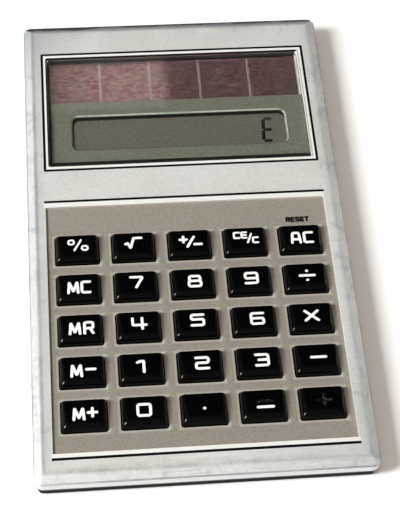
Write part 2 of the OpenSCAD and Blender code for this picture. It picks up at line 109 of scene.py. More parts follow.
def blank(name, surface):
    """A new finish with the constant sockets of its surface set; returns it, its tree and its shader."""
    finish = bpy.data.materials.new(name)
    finish.use_nodes = True
    shader = finish.node_tree.nodes["Principled BSDF"]
    for socket, value in surface.items():
        shader.inputs[socket].default_value = value
    return finish, finish.node_tree, shader


def feed(shader, ends):
    """Links outputs to the named sockets of a shader."""
    for socket, end in ends.items():
        shader.id_data.links.new(end, shader.inputs[socket])


def tinted(finish, amount, colour):
    """Lays a colour over a finish as far as amount goes from 0 to 1."""
    tree = finish.node_tree
    shader = tree.nodes["Principled BSDF"]
    under = shader.inputs["Base Color"].links[0].from_socket
    feed(shader, {"Base Color": blended(tree, amount, under, colour)})


def moulded(name, colour, rough, grain, depth, drift=0.12, patch=7 * mm, **surface):
    """A moulded finish: a colour that drifts in soft patches, and a grain that breaks up the gloss."""
    sockets = {key.replace("_", " "): value for key, value in surface.items()}
    finish, tree, shader = blank(name, sockets)
    place = spot(tree)
    fine = noise(tree, place, 1 / grain, 3.0)
    broad = noise(tree, place, 1 / patch, 4.0)
    dark = tuple(channel * (1 - drift) for channel in colour)
    light = tuple(channel * (1 + drift) for channel in colour)
    gloss_spread = 0.08
    feed(shader, {
        "Base Color": blended(tree, broad, dark, light),
        "Roughness": fade(tree, fine, 0.0, 1.0, rough - gloss_spread, rough + gloss_spread),
        "Normal": add(tree, "ShaderNodeBump", {"Height": fine, "Distance": depth}).outputs[0],
    })
    return finish


def dress(node, finish):
    """Gives a carried-over solid its finish."""
    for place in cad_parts[node].material_slots:
        place.material = finish


def sparked_black():
    """Black plastic, dull on the outside walls and rubbed greyer on the underside by tables."""
    finish = moulded("rear cover plastic", (0.006, 0.006, 0.0065), 0.65, 0.35 * mm, 0.03 * mm,
                     Specular_IOR_Level=0.08)
    tree = finish.node_tree
    facing = axes(tree, add(tree, "ShaderNodeNewGeometry").outputs["True Normal"])["Z"]
    tinted(finish, calc(tree, "LESS_THAN", facing, -0.5), (0.030, 0.030, 0.031))
    return finish


dress("rear_cover", sparked_black())


# Main board: a paper laminate board with the chip under a resin drop, and three soldered parts.
# The stakes of the key panel pass through it and are headed over behind it.
dress("main_board", moulded("board laminate", (0.23, 0.12, 0.04), 0.45, 0.5 * mm, 0.01 * mm, drift=0.25))
dress("chip_cover", moulded("chip resin", (0.012, 0.011, 0.012), 0.22, 1.2 * mm, 0.03 * mm))
dress("supply_capacitor", moulded("capacitor sleeve", (0.02, 0.03, 0.09), 0.3, 0.8 * mm, 0.01 * mm))
dress("limiter_diode", moulded("diode glass", (0.32, 0.08, 0.03), 0.12, 0.6 * mm, 0.005 * mm))
dress("bias_resistor", moulded("resistor lacquer", (0.50, 0.33, 0.18), 0.35, 0.4 * mm, 0.02 * mm))


# Display: two panes of glass with a film on each side, seen as one dim grey-green field.
# A striped rubber strip presses on the board, and one figure stands at the right of the field.
def striped(name, first, second, scale, rough):
    """Stripes across X, as in a rubber connector made of clear and carbon-filled leaves."""
    finish, tree, shader = blank(name, {"Roughness": rough})
    wave = add(tree, "ShaderNodeTexWave", {"Vector": spot(tree), "Scale": scale, "Distortion": 0.3})
    feed(shader, {"Base Color": blended(tree, wave.outputs["Fac"], first, second)})
    return finish


display_glass = moulded("display glass", (0.17, 0.19, 0.16), 0.08, 2 * mm, 0.001 * mm)
dress("front_polariser", moulded("display film", (0.063, 0.0575, 0.048), 0.42, 0.4 * mm, 0.004 * mm,
                                 drift=0.55, patch=0.7 * mm))
dress("lcd_front_glass", display_glass)
dress("lcd_rear_glass", display_glass)
dress("rear_reflector", moulded("reflector foil", (0.42, 0.43, 0.40), 0.3, 0.3 * mm, 0.01 * mm, Metallic=0.8))
dress("lcd_connector", striped("connector leaves", (0.02, 0.02, 0.02), (0.55, 0.52, 0.47), 250.0, 0.6))


def new_tree(name, inputs, output):
    """An empty tree of geometry nodes with its named inputs and its output; returns it and its inputs."""
    tree = bpy.data.node_groups.new(name, "GeometryNodeTree")
    for label, kind in inputs.items():
        tree.interface.new_socket(label, in_out="INPUT", socket_type="NodeSocket" + kind)
    tree.interface.new_socket(output, in_out="OUTPUT", socket_type="NodeSocketGeometry")
    return tree, add(tree, "NodeGroupInput").outputs


def geometry(tree, kind, inputs, **settings):
    """Adds a geometry node and gives its first output."""
    return add(tree, "GeometryNode" + kind, inputs, **settings).outputs[0]


def stroke_tree():
    """Ink along drawn lines: corners eased, a lens-shaped section swept along, round ends, all joined."""
    tree, given = new_tree("ink strokes", {"Lines": "Geometry", "Width": "Float", "Thickness": "Float",
                                           "Ink": "Material"}, "Print")
    width, thickness = given["Width"], given["Thickness"]
    line = geometry(tree, "MeshToCurve", {"Mesh": given["Lines"]})
    ease = geometry(tree, "InputNamedAttribute", {"Name": "ease"}, data_type="FLOAT")
    eased = geometry(tree, "FilletCurve", {"Curve": line, "Radius": ease, "Count": 5, "Limit Radius": True},
                     mode="POLY")
    level = geometry(tree, "SetCurveNormal", {"Curve": eased}, mode="Z_UP")
    section = add(tree, "ShaderNodeCombineXYZ", {"X": width, "Y": thickness, "Z": 1.0}).outputs[0]
    circle = geometry(tree, "CurvePrimitiveCircle", {"Resolution": 12, "Radius": 0.5})
    oval = geometry(tree, "Transform", {"Geometry": circle, "Scale": section})
    swept = geometry(tree, "CurveToMesh", {"Curve": level, "Profile Curve": oval, "Fill Caps": True})
    tips = geometry(tree, "CurveEndpointSelection", {"Start Size": 1, "End Size": 1})
    marked = geometry(tree, "StoreNamedAttribute", {"Geometry": level, "Selection": tips, "Name": "tip",
                                                    "Value": 1.0}, data_type="FLOAT", domain="POINT")
    ends = geometry(tree, "CurveToPoints", {"Curve": marked}, mode="EVALUATED")
    open_end = geometry(tree, "InputNamedAttribute", {"Name": "tip"}, data_type="FLOAT")
    bead = geometry(tree, "MeshUVSphere", {"Segments": 12, "Rings": 6, "Radius": 0.5})
    flattened = add(tree, "ShaderNodeCombineXYZ", {"X": width, "Y": width, "Z": thickness}).outputs[0]
    beads = geometry(tree, "InstanceOnPoints", {"Points": ends, "Selection": open_end, "Instance": bead,
                                                "Scale": flattened})
    real = geometry(tree, "RealizeInstances", {"Geometry": beads})
    join = add(tree, "GeometryNodeMeshBoolean", {"Self Intersection": True}, operation="UNION",
               solver="EXACT")
    for part in (swept, real):
        tree.links.new(part, join.inputs["Mesh 2"])
    clean = geometry(tree, "MergeByDistance", {"Geometry": join.outputs[0], "Distance": 0.001 * mm})
    whole = geometry(tree, "RealizeInstances", {"Geometry": clean})
    inked = geometry(tree, "SetMaterial", {"Geometry": whole, "Material": given["Ink"]})
    add(tree, "NodeGroupOutput", {"Print": geometry(tree, "SetShadeSmooth", {"Geometry": inked})})
    return tree


def show(name, mesh):
    """Puts a mesh into the scene as a piece of its own, at the origin."""
    made = bpy.data.objects.new(name, mesh)
    bpy.context.scene.collection.objects.link(made)
    return made


def grown(name, base, tree, sizes):
    """Runs a tree on a base mesh with the sizes given for its named inputs, and keeps the plain mesh."""
    base_object = show(name + "_base", base)
    modifier = base_object.modifiers.new(tree.name, "NODES")
    modifier.node_group = tree
    for item in tree.interface.items_tree:
        if item.in_out == "INPUT" and item.name in sizes:
            modifier[item.identifier] = sizes[item.name]
    ready = base_object.evaluated_get(bpy.context.evaluated_depsgraph_get())
    mesh = bpy.data.meshes.new_from_object(ready)
    base_object.modifiers.remove(modifier)
    bpy.data.objects.remove(base_object)
    bpy.data.meshes.remove(base)
    mesh.name = name
    return show(name, mesh)


def drawn(strokes):
    """Lines as edges that know how far their corners are eased; one that ends at its start is closed."""
    points, edges, eases = [], [], []
    for ease, stroke in strokes:
        returns = stroke[0] == stroke[-1]
        kept = stroke[:-1] if returns else stroke
        first = len(points)
        points += kept
        eases += [ease] * len(kept)
        edges += [(first + step, first + step + 1) for step in range(len(kept) - 1)]
        if returns:
            edges.append((len(points) - 1, first))
    mesh = bpy.data.meshes.new("lines")
    mesh.from_pydata(points, edges, [])
    mesh.attributes.new("ease", "FLOAT", "POINT").data.foreach_set("value", eases)
    return mesh


ink_strokes, ink_t = stroke_tree(), 0.02 * mm


def printed(name, strokes, width, ink):
    """A print of these strokes, whose points already lie where the print lies."""
    return grown(name, drawn(strokes), ink_strokes, {"Width": width, "Thickness": ink_t, "Ink": ink})


def closed(mesh, *finishes):
    """Turns the faces of a piece outwards and gives its plain mesh, with the finishes in their order."""
    bmesh.ops.recalc_face_normals(mesh, faces=mesh.faces)
    plain = bpy.data.meshes.new("piece")
    mesh.to_mesh(plain)
    mesh.free()
    for finish in finishes:
        plain.materials.append(finish)
    return plain


segment_dark = moulded("lit segment", (0.004, 0.004, 0.005), 0.6, 0.3 * mm, 0.002 * mm,
                       Specular_IOR_Level=0.1)
segment_faint = moulded("fading segment", (0.022, 0.020, 0.017), 0.6, 0.3 * mm, 0.002 * mm,
                        Specular_IOR_Level=0.1)
film_low, film_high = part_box("front_polariser")
figure_left, figure_foot = film_high.x - 6.8 * mm, film_low.y + 1.85 * mm
figure_w, figure_h, figure_lean = 2.2 * mm, 6.3 * mm, 0.06
segment_w, segment_gap, segment_t = 0.86 * mm, 0.08 * mm, 0.015 * mm


def figure_point(x, y):
    """A point of the leaning figure, in shares of its width and height."""
    return Vector((figure_left + x * figure_w + figure_lean * y * figure_h, figure_foot + y * figure_h))


def segment_bars(name, finish, *bars):
    """Flat bars with pointed ends, each from one corner of the figure to another."""
    mesh = bmesh.new()
    for ends in bars:
        first, last = [figure_point(*end) for end in ends]
        along = (last - first).normalized()
        across = Vector((-along.y, along.x)) * segment_w / 2
        first, last = first + along * segment_gap, last - along * segment_gap
        taper = along * segment_w / 3
        outline = [first, first + taper - across, last - taper - across,
                   last, last - taper + across, first + taper + across]
        under, over = [[mesh.verts.new((*point, height)) for point in outline]
                       for height in (film_high.z, film_high.z + segment_t)]
        mesh.faces.new(over)
        mesh.faces.new(under)
        for here in range(len(outline)):
            mesh.faces.new((under[here - 1], under[here], over[here], over[here - 1]))
    return show(name, closed(mesh, finish))


foot_left, foot_right, waist_left, waist_right, head_left, head_right = [
    (x, y) for y in (0, 0.5, 1) for x in (0, 1)]
lit = segment_bars("display_figure", segment_dark, (foot_left, waist_left), (waist_left, head_left),
                   (foot_left, foot_right), (waist_left, waist_right))
fading = segment_bars("display_figure_faint", segment_faint, (head_left, head_right))
for figure in (lit, fading):
    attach(figure, "case")


# Solar panel: a glass plate with five thin-film cells on its back, dark red-brown and shiny.
# Bare metal strips part the cells; foam pads and two rubber blocks hold it off the board.
def cell_film():
    """Thin silicon film: a dark red mirror, mottled in patches drawn out along X, dulled here and there."""
    finish, tree, shader = blank("solar cell film", {"Metallic": 0.90, "Specular IOR Level": 0.4})
    place = spot(tree)
    drawn_out = add(tree, "ShaderNodeMapping", {"Vector": place, "Scale": (700.0, 1500.0, 1500.0)}).outputs[0]
    mottled = fade(tree, noise(tree, drawn_out, 1.0, 5.0, 0.7), 0.38, 0.60)
    dull = fade(tree, noise(tree, place, 190.0, 3.0), 0.42, 0.64, 0.0, 0.42)
    speck = noise(tree, place, 2200.0, 2.0)
    tint = blended(tree, mottled, (0.33, 0.110, 0.140), (0.54, 0.385, 0.405))
    feed(shader, {"Base Color": blended(tree, dull, tint, (0.38, 0.345, 0.30)),
                  "Roughness": fade(tree, speck, 0.0, 1.0, 0.03, 0.07)})
    return finish


def strip_tree():
    """A row of flat bars at an even pitch."""
    tree, given = new_tree("cell strips", {"Base": "Geometry", "Count": "Int", "Start": "Vector",
                                           "Pitch": "Vector", "Bar": "Vector", "Metal": "Material"}, "Strips")
    row = geometry(tree, "MeshLine", {"Count": given["Count"], "Start Location": given["Start"],
                                      "Offset": given["Pitch"]}, mode="OFFSET")
    bar = geometry(tree, "MeshCube", {"Size": given["Bar"]})
    bars = geometry(tree, "InstanceOnPoints", {"Points": row, "Instance": bar})
    real = geometry(tree, "RealizeInstances", {"Geometry": bars})
    shiny = geometry(tree, "SetMaterial", {"Geometry": real, "Material": given["Metal"]})
    add(tree, "NodeGroupOutput", {"Strips": shiny})
    return tree


dress("solar_panel", cell_film())
dress("solar_pads", moulded("foam", (0.03, 0.03, 0.032), 0.9, 0.5 * mm, 0.12 * mm))
dress("cell_contacts", moulded("contact rubber", (0.02, 0.02, 0.02), 0.7, 0.4 * mm, 0.02 * mm))
cells_low, cells_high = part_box("solar_panel")
strip_metal = moulded("bare cell strip", (0.56, 0.48, 0.48), 0.14, 0.5 * mm, 0.001 * mm, Metallic=0.82)
strip_w, strip_t, strip_pitch, strip_first = 0.6 * mm, 0.02 * mm, 11.87 * mm, -17.7 * mm
strip_margin = 0.5 * mm
strips = grown("cell_strips", bpy.data.meshes.new("strip start"), strip_tree(), {
    "Count": 4,
    "Start": (strip_first, (cells_low.y + cells_high.y) / 2, cells_high.z),
    "Pitch": (strip_pitch, 0.0, 0.0),
    "Bar": (strip_w, cells_high.y - cells_low.y - 2 * strip_margin, strip_t),
    "Metal": strip_metal,
})
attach(strips, "case")


# Display bezel: a thin grey-green moulded frame, open to the cells and, with a sloping edge, to the display.
# It is trapped between the deck of the front case and the glass below it.
def ring(mesh, width, length, radius, height, middle=(0.0, 0.0), steps=6, lead=0.0):
    """A closed loop round a rounded rectangle, anticlockwise from above.

    A lead adds a point that far before and after each arc, which keeps the straight sides flat when shaded.
    """
    loop = []
    for quarter, (side, end) in enumerate(((1, 1), (-1, 1), (-1, -1), (1, -1))):
        x = middle[0] + side * (width / 2 - radius)
        y = middle[1] + end * (length / 2 - radius)
        arc = []
        for step in range(steps + 1):
            angle = (quarter + step / steps) * math.pi / 2
            arc.append(Vector((x + radius * math.cos(angle), y + radius * math.sin(angle), height)))
        if lead:
            angle = quarter * math.pi / 2
            onward = Vector((-math.sin(angle), math.cos(angle), 0.0)) * lead
            arc = [arc[0] - onward] + arc + [arc[-1] + Vector((-onward.y, onward.x, 0.0))]
        loop += [mesh.verts.new(point) for point in arc]
    return loop


def wall(mesh, loops, smooth=True):
    """Joins each loop to the next."""
    for lower, upper in zip(loops, loops[1:]):
        for here in range(len(lower)):
            mesh.faces.new((lower[here - 1], lower[here], upper[here], upper[here - 1])).smooth = smooth


def flat(mesh, loops):
    """Fills between level loops: the first is the outline and the others are openings in it."""
    edges = []
    for loop in loops:
        for here in range(len(loop)):
            pair = (loop[here - 1], loop[here])
            edges.append(mesh.edges.get(pair) or mesh.edges.new(pair))
    bmesh.ops.triangle_fill(mesh, use_beauty=True, use_dissolve=False, edges=edges, normal=(0, 0, 1))


def finished(name, mesh, *finishes, crease=40):
    """A closed piece in the scene, its edges kept sharp past the crease angle."""
    plain = closed(mesh, *finishes)
    plain.set_sharp_from_angle(angle=math.radians(crease))
    return show(name, plain)


def centre(low, high):
    """The middle of a box, seen from above."""
    return ((low.x + high.x) / 2, (low.y + high.y) / 2)


def bezel_plastic(painted_light_from, painted_shade_from):
    """Grey-green plastic with a fine grain; a pale strip right of the cells is a painted highlight, and black
    behind them a painted shade.
    """
    finish = moulded("bezel plastic", (0.083, 0.0835, 0.0670), 0.5, 0.45 * mm, 0.012 * mm, drift=0.45,
                     patch=0.8 * mm, Specular_IOR_Level=0.12)
    tree = finish.node_tree
    place = axes(tree, spot(tree))
    beside = calc(tree, "GREATER_THAN", place["X"], painted_light_from[0])
    behind = calc(tree, "GREATER_THAN", place["Y"], painted_light_from[1])
    # Painted highlight: the strip right of the cells is paler.
    tinted(finish, calc(tree, "MULTIPLY", beside, behind), (0.24, 0.235, 0.215))
    # Painted shade: the bezel behind the cells is black.
    tinted(finish, calc(tree, "GREATER_THAN", place["Y"], painted_shade_from), (0.003, 0.003, 0.003))
    return finish


bezel_low, bezel_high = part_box("display_bezel")
bezel_lap, cells_behind, display_before = 1.6 * mm, 0.5 * mm, 4.8 * mm
window_front, window_back = bezel_low.y + bezel_lap, bezel_high.y - bezel_lap
cell_opening = (59.0 * mm, 12.1 * mm, 0.15 * mm)
cell_middle = (0.0, window_back - cells_behind - cell_opening[1] / 2)
display_opening = (49.9 * mm, 9.5 * mm, 1.6 * mm)
display_middle = (0.3 * mm, window_front + display_before + display_opening[1] / 2)
slope_w, slope_h, soft, painted_light_turn = 0.3 * mm, 0.25 * mm, 0.06 * mm, 0.45 * mm
frame_mesh = bmesh.new()
bezel_outline = (bezel_high.x - bezel_low.x, bezel_high.y - bezel_low.y, 0.2 * mm)
bezel_middle = centre(bezel_low, bezel_high)
rim_low = ring(frame_mesh, *bezel_outline, bezel_low.z, bezel_middle)
rim_high = ring(frame_mesh, *bezel_outline, bezel_high.z, bezel_middle)


def edged(mesh, size, middle, profile):
    """The edge of a rounded rectangle from below, each loop widened by its reach at its height."""
    width, length, radius = size
    loops = [ring(mesh, width + 2 * reach, length + 2 * reach, radius + reach, height, middle)
             for reach, height in profile]
    wall(mesh, loops)
    return loops


wall(frame_mesh, [rim_low, rim_high])
cell_loops = edged(frame_mesh, cell_opening, cell_middle,
                   ((0.0, bezel_low.z), (0.0, bezel_high.z - soft), (soft, bezel_high.z)))
slope_loops = edged(frame_mesh, display_opening, display_middle,
                    ((0.0, bezel_low.z), (0.0, bezel_high.z - slope_h), (slope_w - soft, bezel_high.z - soft),
                     (slope_w + soft, bezel_high.z)))
flat(frame_mesh, [rim_low, cell_loops[0], slope_loops[0]])
flat(frame_mesh, [rim_high, cell_loops[-1], slope_loops[-1]])
# The display opening's edge is painted: slope faces behind it and at its right end take a paler copy, a
# painted highlight where they face the lamps, and the walls under the slope are black, a painted shade.
bezel_grey, bezel_painted_light, bezel_painted_shade = range(3)
for face in frame_mesh.faces:
    middle = face.calc_center_median()
    right, back = middle.x - display_middle[0], middle.y - display_middle[1]
    lies_flat = abs(face.normal.z) > 0.99
    if not lies_flat and abs(back) < display_opening[1] and abs(right) < display_opening[0] / 2 + 2 * slope_w:
        to_lamp = back > display_opening[1] / 2 or right > display_opening[0] / 2 - painted_light_turn
        on_slope = middle.z > bezel_high.z - slope_h
        face.material_index = (bezel_painted_light if to_lamp else bezel_grey) if on_slope else bezel_painted_shade
# Black for painted shade: the bezel's walls under its slope, the borders on film and lens, and the window's
# cut edge.
painted_shade_black = moulded("black cut edge painted shade", (0.004, 0.004, 0.004), 0.6, 0.3 * mm, 0.004 * mm,
                    Specular_IOR_Level=0.1)
# Painted highlight: a paler copy of the bezel plastic for the slopes that face the lamps.
slope_painted_light = moulded("pale slope painted light", (0.20, 0.205, 0.185), 0.4, 0.5 * mm, 0.002 * mm, drift=0.6, patch=1.2 * mm)
# The painted highlight begins just past the cells, and the painted shade starts just inside their far edge.
paint_gap, paint_lap = 0.02 * mm, 0.05 * mm
painted_light_corner = (cell_opening[0] / 2 + paint_gap, cell_middle[1] - cell_opening[1] / 2)
painted_shade_edge = cell_middle[1] + cell_opening[1] / 2 - paint_lap
bezel_grain = bezel_plastic(painted_light_corner, painted_shade_edge)
bezel = finished("bezel_frame", frame_mesh, bezel_grain, slope_painted_light, painted_shade_black, crease=20)
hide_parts("display_bezel")
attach(bezel, "case")


def framed(name, outer_size, outer_middle, inner_size, inner_middle, top, thickness, finish):
    """A flat frame between two rounded rectangles."""
    mesh = bmesh.new()
    loops = [ring(mesh, *size, height, middle) for size, height, middle in
             ((outer_size, top - thickness, outer_middle), (outer_size, top, outer_middle),
              (inner_size, top, inner_middle), (inner_size, top - thickness, inner_middle))]
    wall(mesh, loops + loops[:1])
    return finished(name, mesh, finish)


def margined(size, middle, left, right, front, back, radius):
    """The size and middle of a rounded rectangle, drawn in by a margin on each side."""
    inner = (size[0] - left - right, size[1] - front - back, radius)
    return inner, (middle[0] + (left - right) / 2, middle[1] + (front - back) / 2)


# Painted shade: a thin black border on the film, left of the field and behind it, stands in for the shade
# under the bezel's edge there.
mask_t = 0.01 * mm
field = margined(display_opening, display_middle, left=0.32 * mm, right=0.0, front=0.0, back=0.80 * mm,
                 radius=display_opening[2])
mask_size = (display_opening[0] + mask_t, display_opening[1] + mask_t, display_opening[2])
film_painted_shade = framed("display_mask", mask_size, display_middle, *field, film_high.z + mask_t, mask_t, painted_shade_black)
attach(film_painted_shade, "case")


# Rubber mat: a grey silicone sheet on the board with a hollow dome and a contact pill under every key.
# Each dome gives way when its key goes down; the panel's stakes pass through the sheet.
key_names = [
    ["key_percent", "key_root", "key_sign", "key_clear_entry", "key_all_clear"],
    ["key_memory_clear", "key_7", "key_8", "key_9", "key_divide"],
    ["key_memory_recall", "key_4", "key_5", "key_6", "key_multiply"],
    ["key_memory_minus", "key_1", "key_2", "key_3", "key_minus"],
    ["key_memory_plus", "key_0", "key_point", "key_equals", "key_plus"],
]
keys = {name: centre(*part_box(name)) for row in key_names for name in row}
columns = [keys[name][0] for name in key_names[2]]
rows = [keys[row[2]][1] for row in key_names]
stakes = [((columns[side] + columns[side + 1]) / 2, (rows[step] + rows[step + 1]) / 2)
          for side in (0, 3) for step in range(4)]
silicone = moulded("silicone rubber", (0.20, 0.21, 0.22), 0.6, 0.6 * mm, 0.01 * mm)
pill_black = moulded("carbon pill", (0.01, 0.01, 0.01), 0.7, 0.2 * mm, 0.01 * mm)
mat_low, mat_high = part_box("rubber_mat")
sheet_t, stake_hole_d, travel = 0.4 * mm, 1.8 * mm, 0.8 * mm
dome_d, dome_top_d, dome_wall, pill_d = 6.0 * mm, 4.0 * mm, 0.5 * mm, 2.0 * mm
shoulder_w, shoulder_h = 0.5 * mm, 0.15 * mm
sheet_top = mat_low.z + sheet_t


def disc(mesh, diameter, height, middle=(0.0, 0.0), steps=6):
    """A round loop, with this many steps to a quarter turn."""
    loop = []
    for step in range(4 * steps):
        angle = step / steps * math.pi / 2
        across, along = math.cos(angle) * diameter / 2, math.sin(angle) * diameter / 2
        loop.append(mesh.verts.new((middle[0] + across, middle[1] + along, height)))
    return loop


sheet_mesh = bmesh.new()
sheet_outline = (mat_high.x - mat_low.x, mat_high.y - mat_low.y, 1.0 * mm)
floor_loops, top_loops = [[ring(sheet_mesh, *sheet_outline, height, centre(mat_low, mat_high))]
                          for height in (mat_low.z, sheet_top)]
for opening_d, places in ((dome_d, keys.values()), (stake_hole_d, stakes)):
    for middle in places:
        floor_loops.append(disc(sheet_mesh, opening_d, mat_low.z, middle))
        top_loops.append(disc(sheet_mesh, opening_d, sheet_top, middle))
for under, over in zip(floor_loops, top_loops):
    wall(sheet_mesh, [under, over])
flat(sheet_mesh, floor_loops)
flat(sheet_mesh, top_loops)
mat_sheet = finished("mat_sheet", sheet_mesh, silicone)
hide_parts("rubber_mat")
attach(mat_sheet, "case")
roof_under = mat_high.z - (mat_high.z - mat_low.z - travel) / 2
dome_outside = [(dome_d, mat_low.z), (dome_d, sheet_top), (dome_top_d + shoulder_w, mat_high.z - shoulder_h),
                (dome_top_d, mat_high.z)]
dome_inside = [(dome_d - 2 * dome_wall, mat_low.z), (dome_d - 2 * dome_wall, sheet_top),
               (dome_top_d - dome_wall, roof_under), (pill_d, roof_under), (pill_d, mat_low.z + travel)]
for name, middle in keys.items():
    dome_mesh = bmesh.new()
    outside, inside = [[disc(dome_mesh, diameter, height, middle) for diameter, height in profile]
                       for profile in (dome_outside, dome_inside)]
    for loops in (outside, inside, [inside[0], outside[0]]):
        wall(dome_mesh, loops)
    dome_mesh.faces.new(outside[-1])
    dome_mesh.faces.new(inside[-1]).material_index = 1
    dome = finished("dome_" + name, dome_mesh, silicone, pill_black)
    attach(dome, "case")
    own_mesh(dome)


# Key caps: hollow black mouldings with a flange below, a post on the dome and a round crown, polished on top.
# They drop into the panel from behind; the legends are printed in white and wear off the keys used most.
def key_plastic():
    """Glossy black plastic that light handling has dulled in patches."""
    finish, tree, shader = blank("key plastic", {"Base Color": (0.001, 0.001, 0.0012, 1.0),
                                                 "Specular IOR Level": 0.15})
    place = spot(tree)
    haze = noise(tree, place, 420.0, 6.0, 0.65)
    grain = noise(tree, place, 2600.0, 2.0)
    bump = add(tree, "ShaderNodeBump", {"Height": grain, "Distance": 0.002 * mm}).outputs[0]
    feed(shader, {"Roughness": fade(tree, haze, 0.35, 0.7, 0.05, 0.16), "Normal": bump})
    return finish


key_black = key_plastic()
key_w, key_l, key_corner, flange, flange_t = 9.4 * mm, 6.9 * mm, 0.3 * mm, 0.5 * mm, 0.5 * mm
key_wall, key_roof, post_d, inner_corner = 0.9 * mm, 1.1 * mm, 3.0 * mm, 0.2 * mm
crown_r, crown_steps, back_crown, corner_growth = 1.7 * mm, 12, 0.35, 0.6
top_inset, top_growth, straight_lead = 0.12 * mm, 0.5, 0.15 * mm


def key_loop(cap, middle, inset, height, radius, back_share=1.0):
    """A key's outline drawn in by inset, and only by a share of that towards the back."""
    spare = inset * (1 - back_share)
    shifted = (middle[0], middle[1] + spare / 2)
    loop = ring(cap, key_w - 2 * inset, key_l - 2 * inset + spare, radius, height, shifted,
                lead=straight_lead)
    for corner in loop:
        backwards = (corner.co.y - middle[1]) / key_l + 0.5
        corner.co.x += math.copysign(spare, corner.co.x - middle[0]) * backwards
    return loop


for name, middle in keys.items():
    low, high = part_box(name)
    cap = bmesh.new()
    under_roof = high.z - key_roof
    post = [disc(cap, post_d, height, middle) for height in (low.z, under_roof)]
    loops = [key_loop(cap, middle, *outline) for outline in (
        (key_wall, under_roof, inner_corner), (key_wall, low.z, inner_corner),
        (-flange, low.z, key_corner + flange), (-flange, low.z + flange_t, key_corner + flange),
        (0.0, low.z + flange_t, key_corner))]
    for step in range(crown_steps + 1):
        turn = step / crown_steps * math.pi / 2
        inset = crown_r * (1 - math.cos(turn))
        loops.append(key_loop(cap, middle, inset, high.z - crown_r * (1 - math.sin(turn)),
                              key_corner + corner_growth * inset, back_crown))
    loops.append(key_loop(cap, middle, crown_r + top_inset, high.z, key_corner + top_growth * crown_r,
                          back_crown))
    wall(cap, post)
    wall(cap, loops)
    cap.faces.new(post[0])
    flat(cap, [loops[0], post[1]])
    cap.faces.new(loops[-1])
    key = finished("cap_" + name, cap, key_black, crease=50)
    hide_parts(name)
    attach(key, name)


def worn_ink():
    """White ink rubbed down to the plastic, with a few specks left."""
    finish, tree, shader = blank("worn ink", {"Roughness": 0.3, "Specular IOR Level": 0.15})
    left = fade(tree, noise(tree, spot(tree), 2400.0, 3.0), 0.58, 0.76, 0.0, 0.22)
    feed(shader, {"Base Color": blended(tree, left, (0.004, 0.004, 0.005), (0.6, 0.6, 0.62))})
    return finish


ink_white = moulded("white ink", (0.90, 0.90, 0.88), 0.45, 0.25 * mm, 0.006 * mm, drift=0.05, patch=0.8 * mm)
ink_worn = worn_ink()
# Each sign: how far its corners are eased, as a share of its height, and its strokes in a box of 1 by 1.
signs = {
    "0": (0.17, [[(0, 0), (1, 0), (1, 1), (0, 1), (0, 0)]]),
    "1": (0.05, [[(0.12, 0.9), (0.35, 1), (0.62, 1), (0.62, 0)]]),
    "2": (0.17, [[(0, 1), (1, 1), (1, 0.52), (0, 0.52), (0, 0), (1, 0)]]),
    "3": (0.17, [[(0, 1), (1, 1), (1, 0), (0, 0)], [(0.22, 0.52), (1, 0.52)]]),
    "4": (0.10, [[(0, 1), (0, 0.36), (1.1, 0.36)], [(0.78, 1), (0.78, 0)]]),
    "5": (0.15, [[(1, 1), (0, 1), (0, 0.56), (1, 0.56), (1, 0), (0, 0)]]),
    "6": (0.17, [[(1, 1), (0, 1), (0, 0), (1, 0), (1, 0.52), (0, 0.52)]]),
    "7": (0.08, [[(0, 1), (1, 1), (0.45, 0)]]),
    "8": (0.17, [[(0, 0), (1, 0), (1, 0.53), (0, 0.53), (0, 0)],
                 [(0.06, 0.53), (0.06, 1), (0.94, 1), (0.94, 0.53)]]),
    "9": (0.17, [[(0, 0), (1, 0), (1, 1), (0, 1), (0, 0.48), (1, 0.48)]]),
    "A": (0.14, [[(0, 0), (0.14, 1), (0.84, 1), (1, 0)], [(0.06, 0.34), (0.94, 0.34)]]),
    "C": (0.15, [[(1, 1), (0, 1), (0, 0), (1, 0)]]),
    "E": (0.12, [[(1, 1), (0, 1), (0, 0), (1, 0)], [(0, 0.5), (0.9, 0.5)]]),
    "M": (0.02, [[(0, 0), (0.1, 1), (0.5, 0.12), (0.9, 1), (1, 0)]]),
    "R": (0.14, [[(0, 0), (0, 1), (1, 1), (1, 0.46), (0, 0.46)], [(0.62, 0.46), (1, 0)]]),
    "S": (0.14, [[(1, 1), (0, 1), (0, 0.52), (1, 0.52), (1, 0), (0, 0)]]),
    "T": (0.0, [[(0, 1), (1, 1)], [(0.5, 1), (0.5, 0)]]),
    "plus": (0.0, [[(0, 0.5), (1, 0.5)], [(0.5, 0), (0.5, 1)]]),
    "bar": (0.0, [[(0, 0.5), (1, 0.5)]]),
    "cross": (0.0, [[(0, 0), (1, 1)], [(0, 1), (1, 0)]]),
    "slash": (0.0, [[(0, 0), (1, 1)]]),
    "root": (0.03, [[(0, 0.42), (0.14, 0.5), (0.3, 0), (0.52, 1), (1, 1)]]),
    "dot": (0.0, [[(0.45, 0.5), (0.55, 0.5)]]),
    "oval": (0.45, [[(0, 0), (1, 0), (1, 1), (0, 1), (0, 0)]]),
}


def placed(sign, x, y, width, height, origin):
    """A sign's strokes in a box whose lower left corner is at x and y from the origin, in millimetres."""
    share, strokes = signs[sign]
    laid = []
    for stroke in strokes:
        points = [(origin[0] + (x + across * width) * mm, origin[1] + (y + up * height) * mm, origin[2])
                  for across, up in stroke]
        laid.append((share * height * mm, points))
    return laid


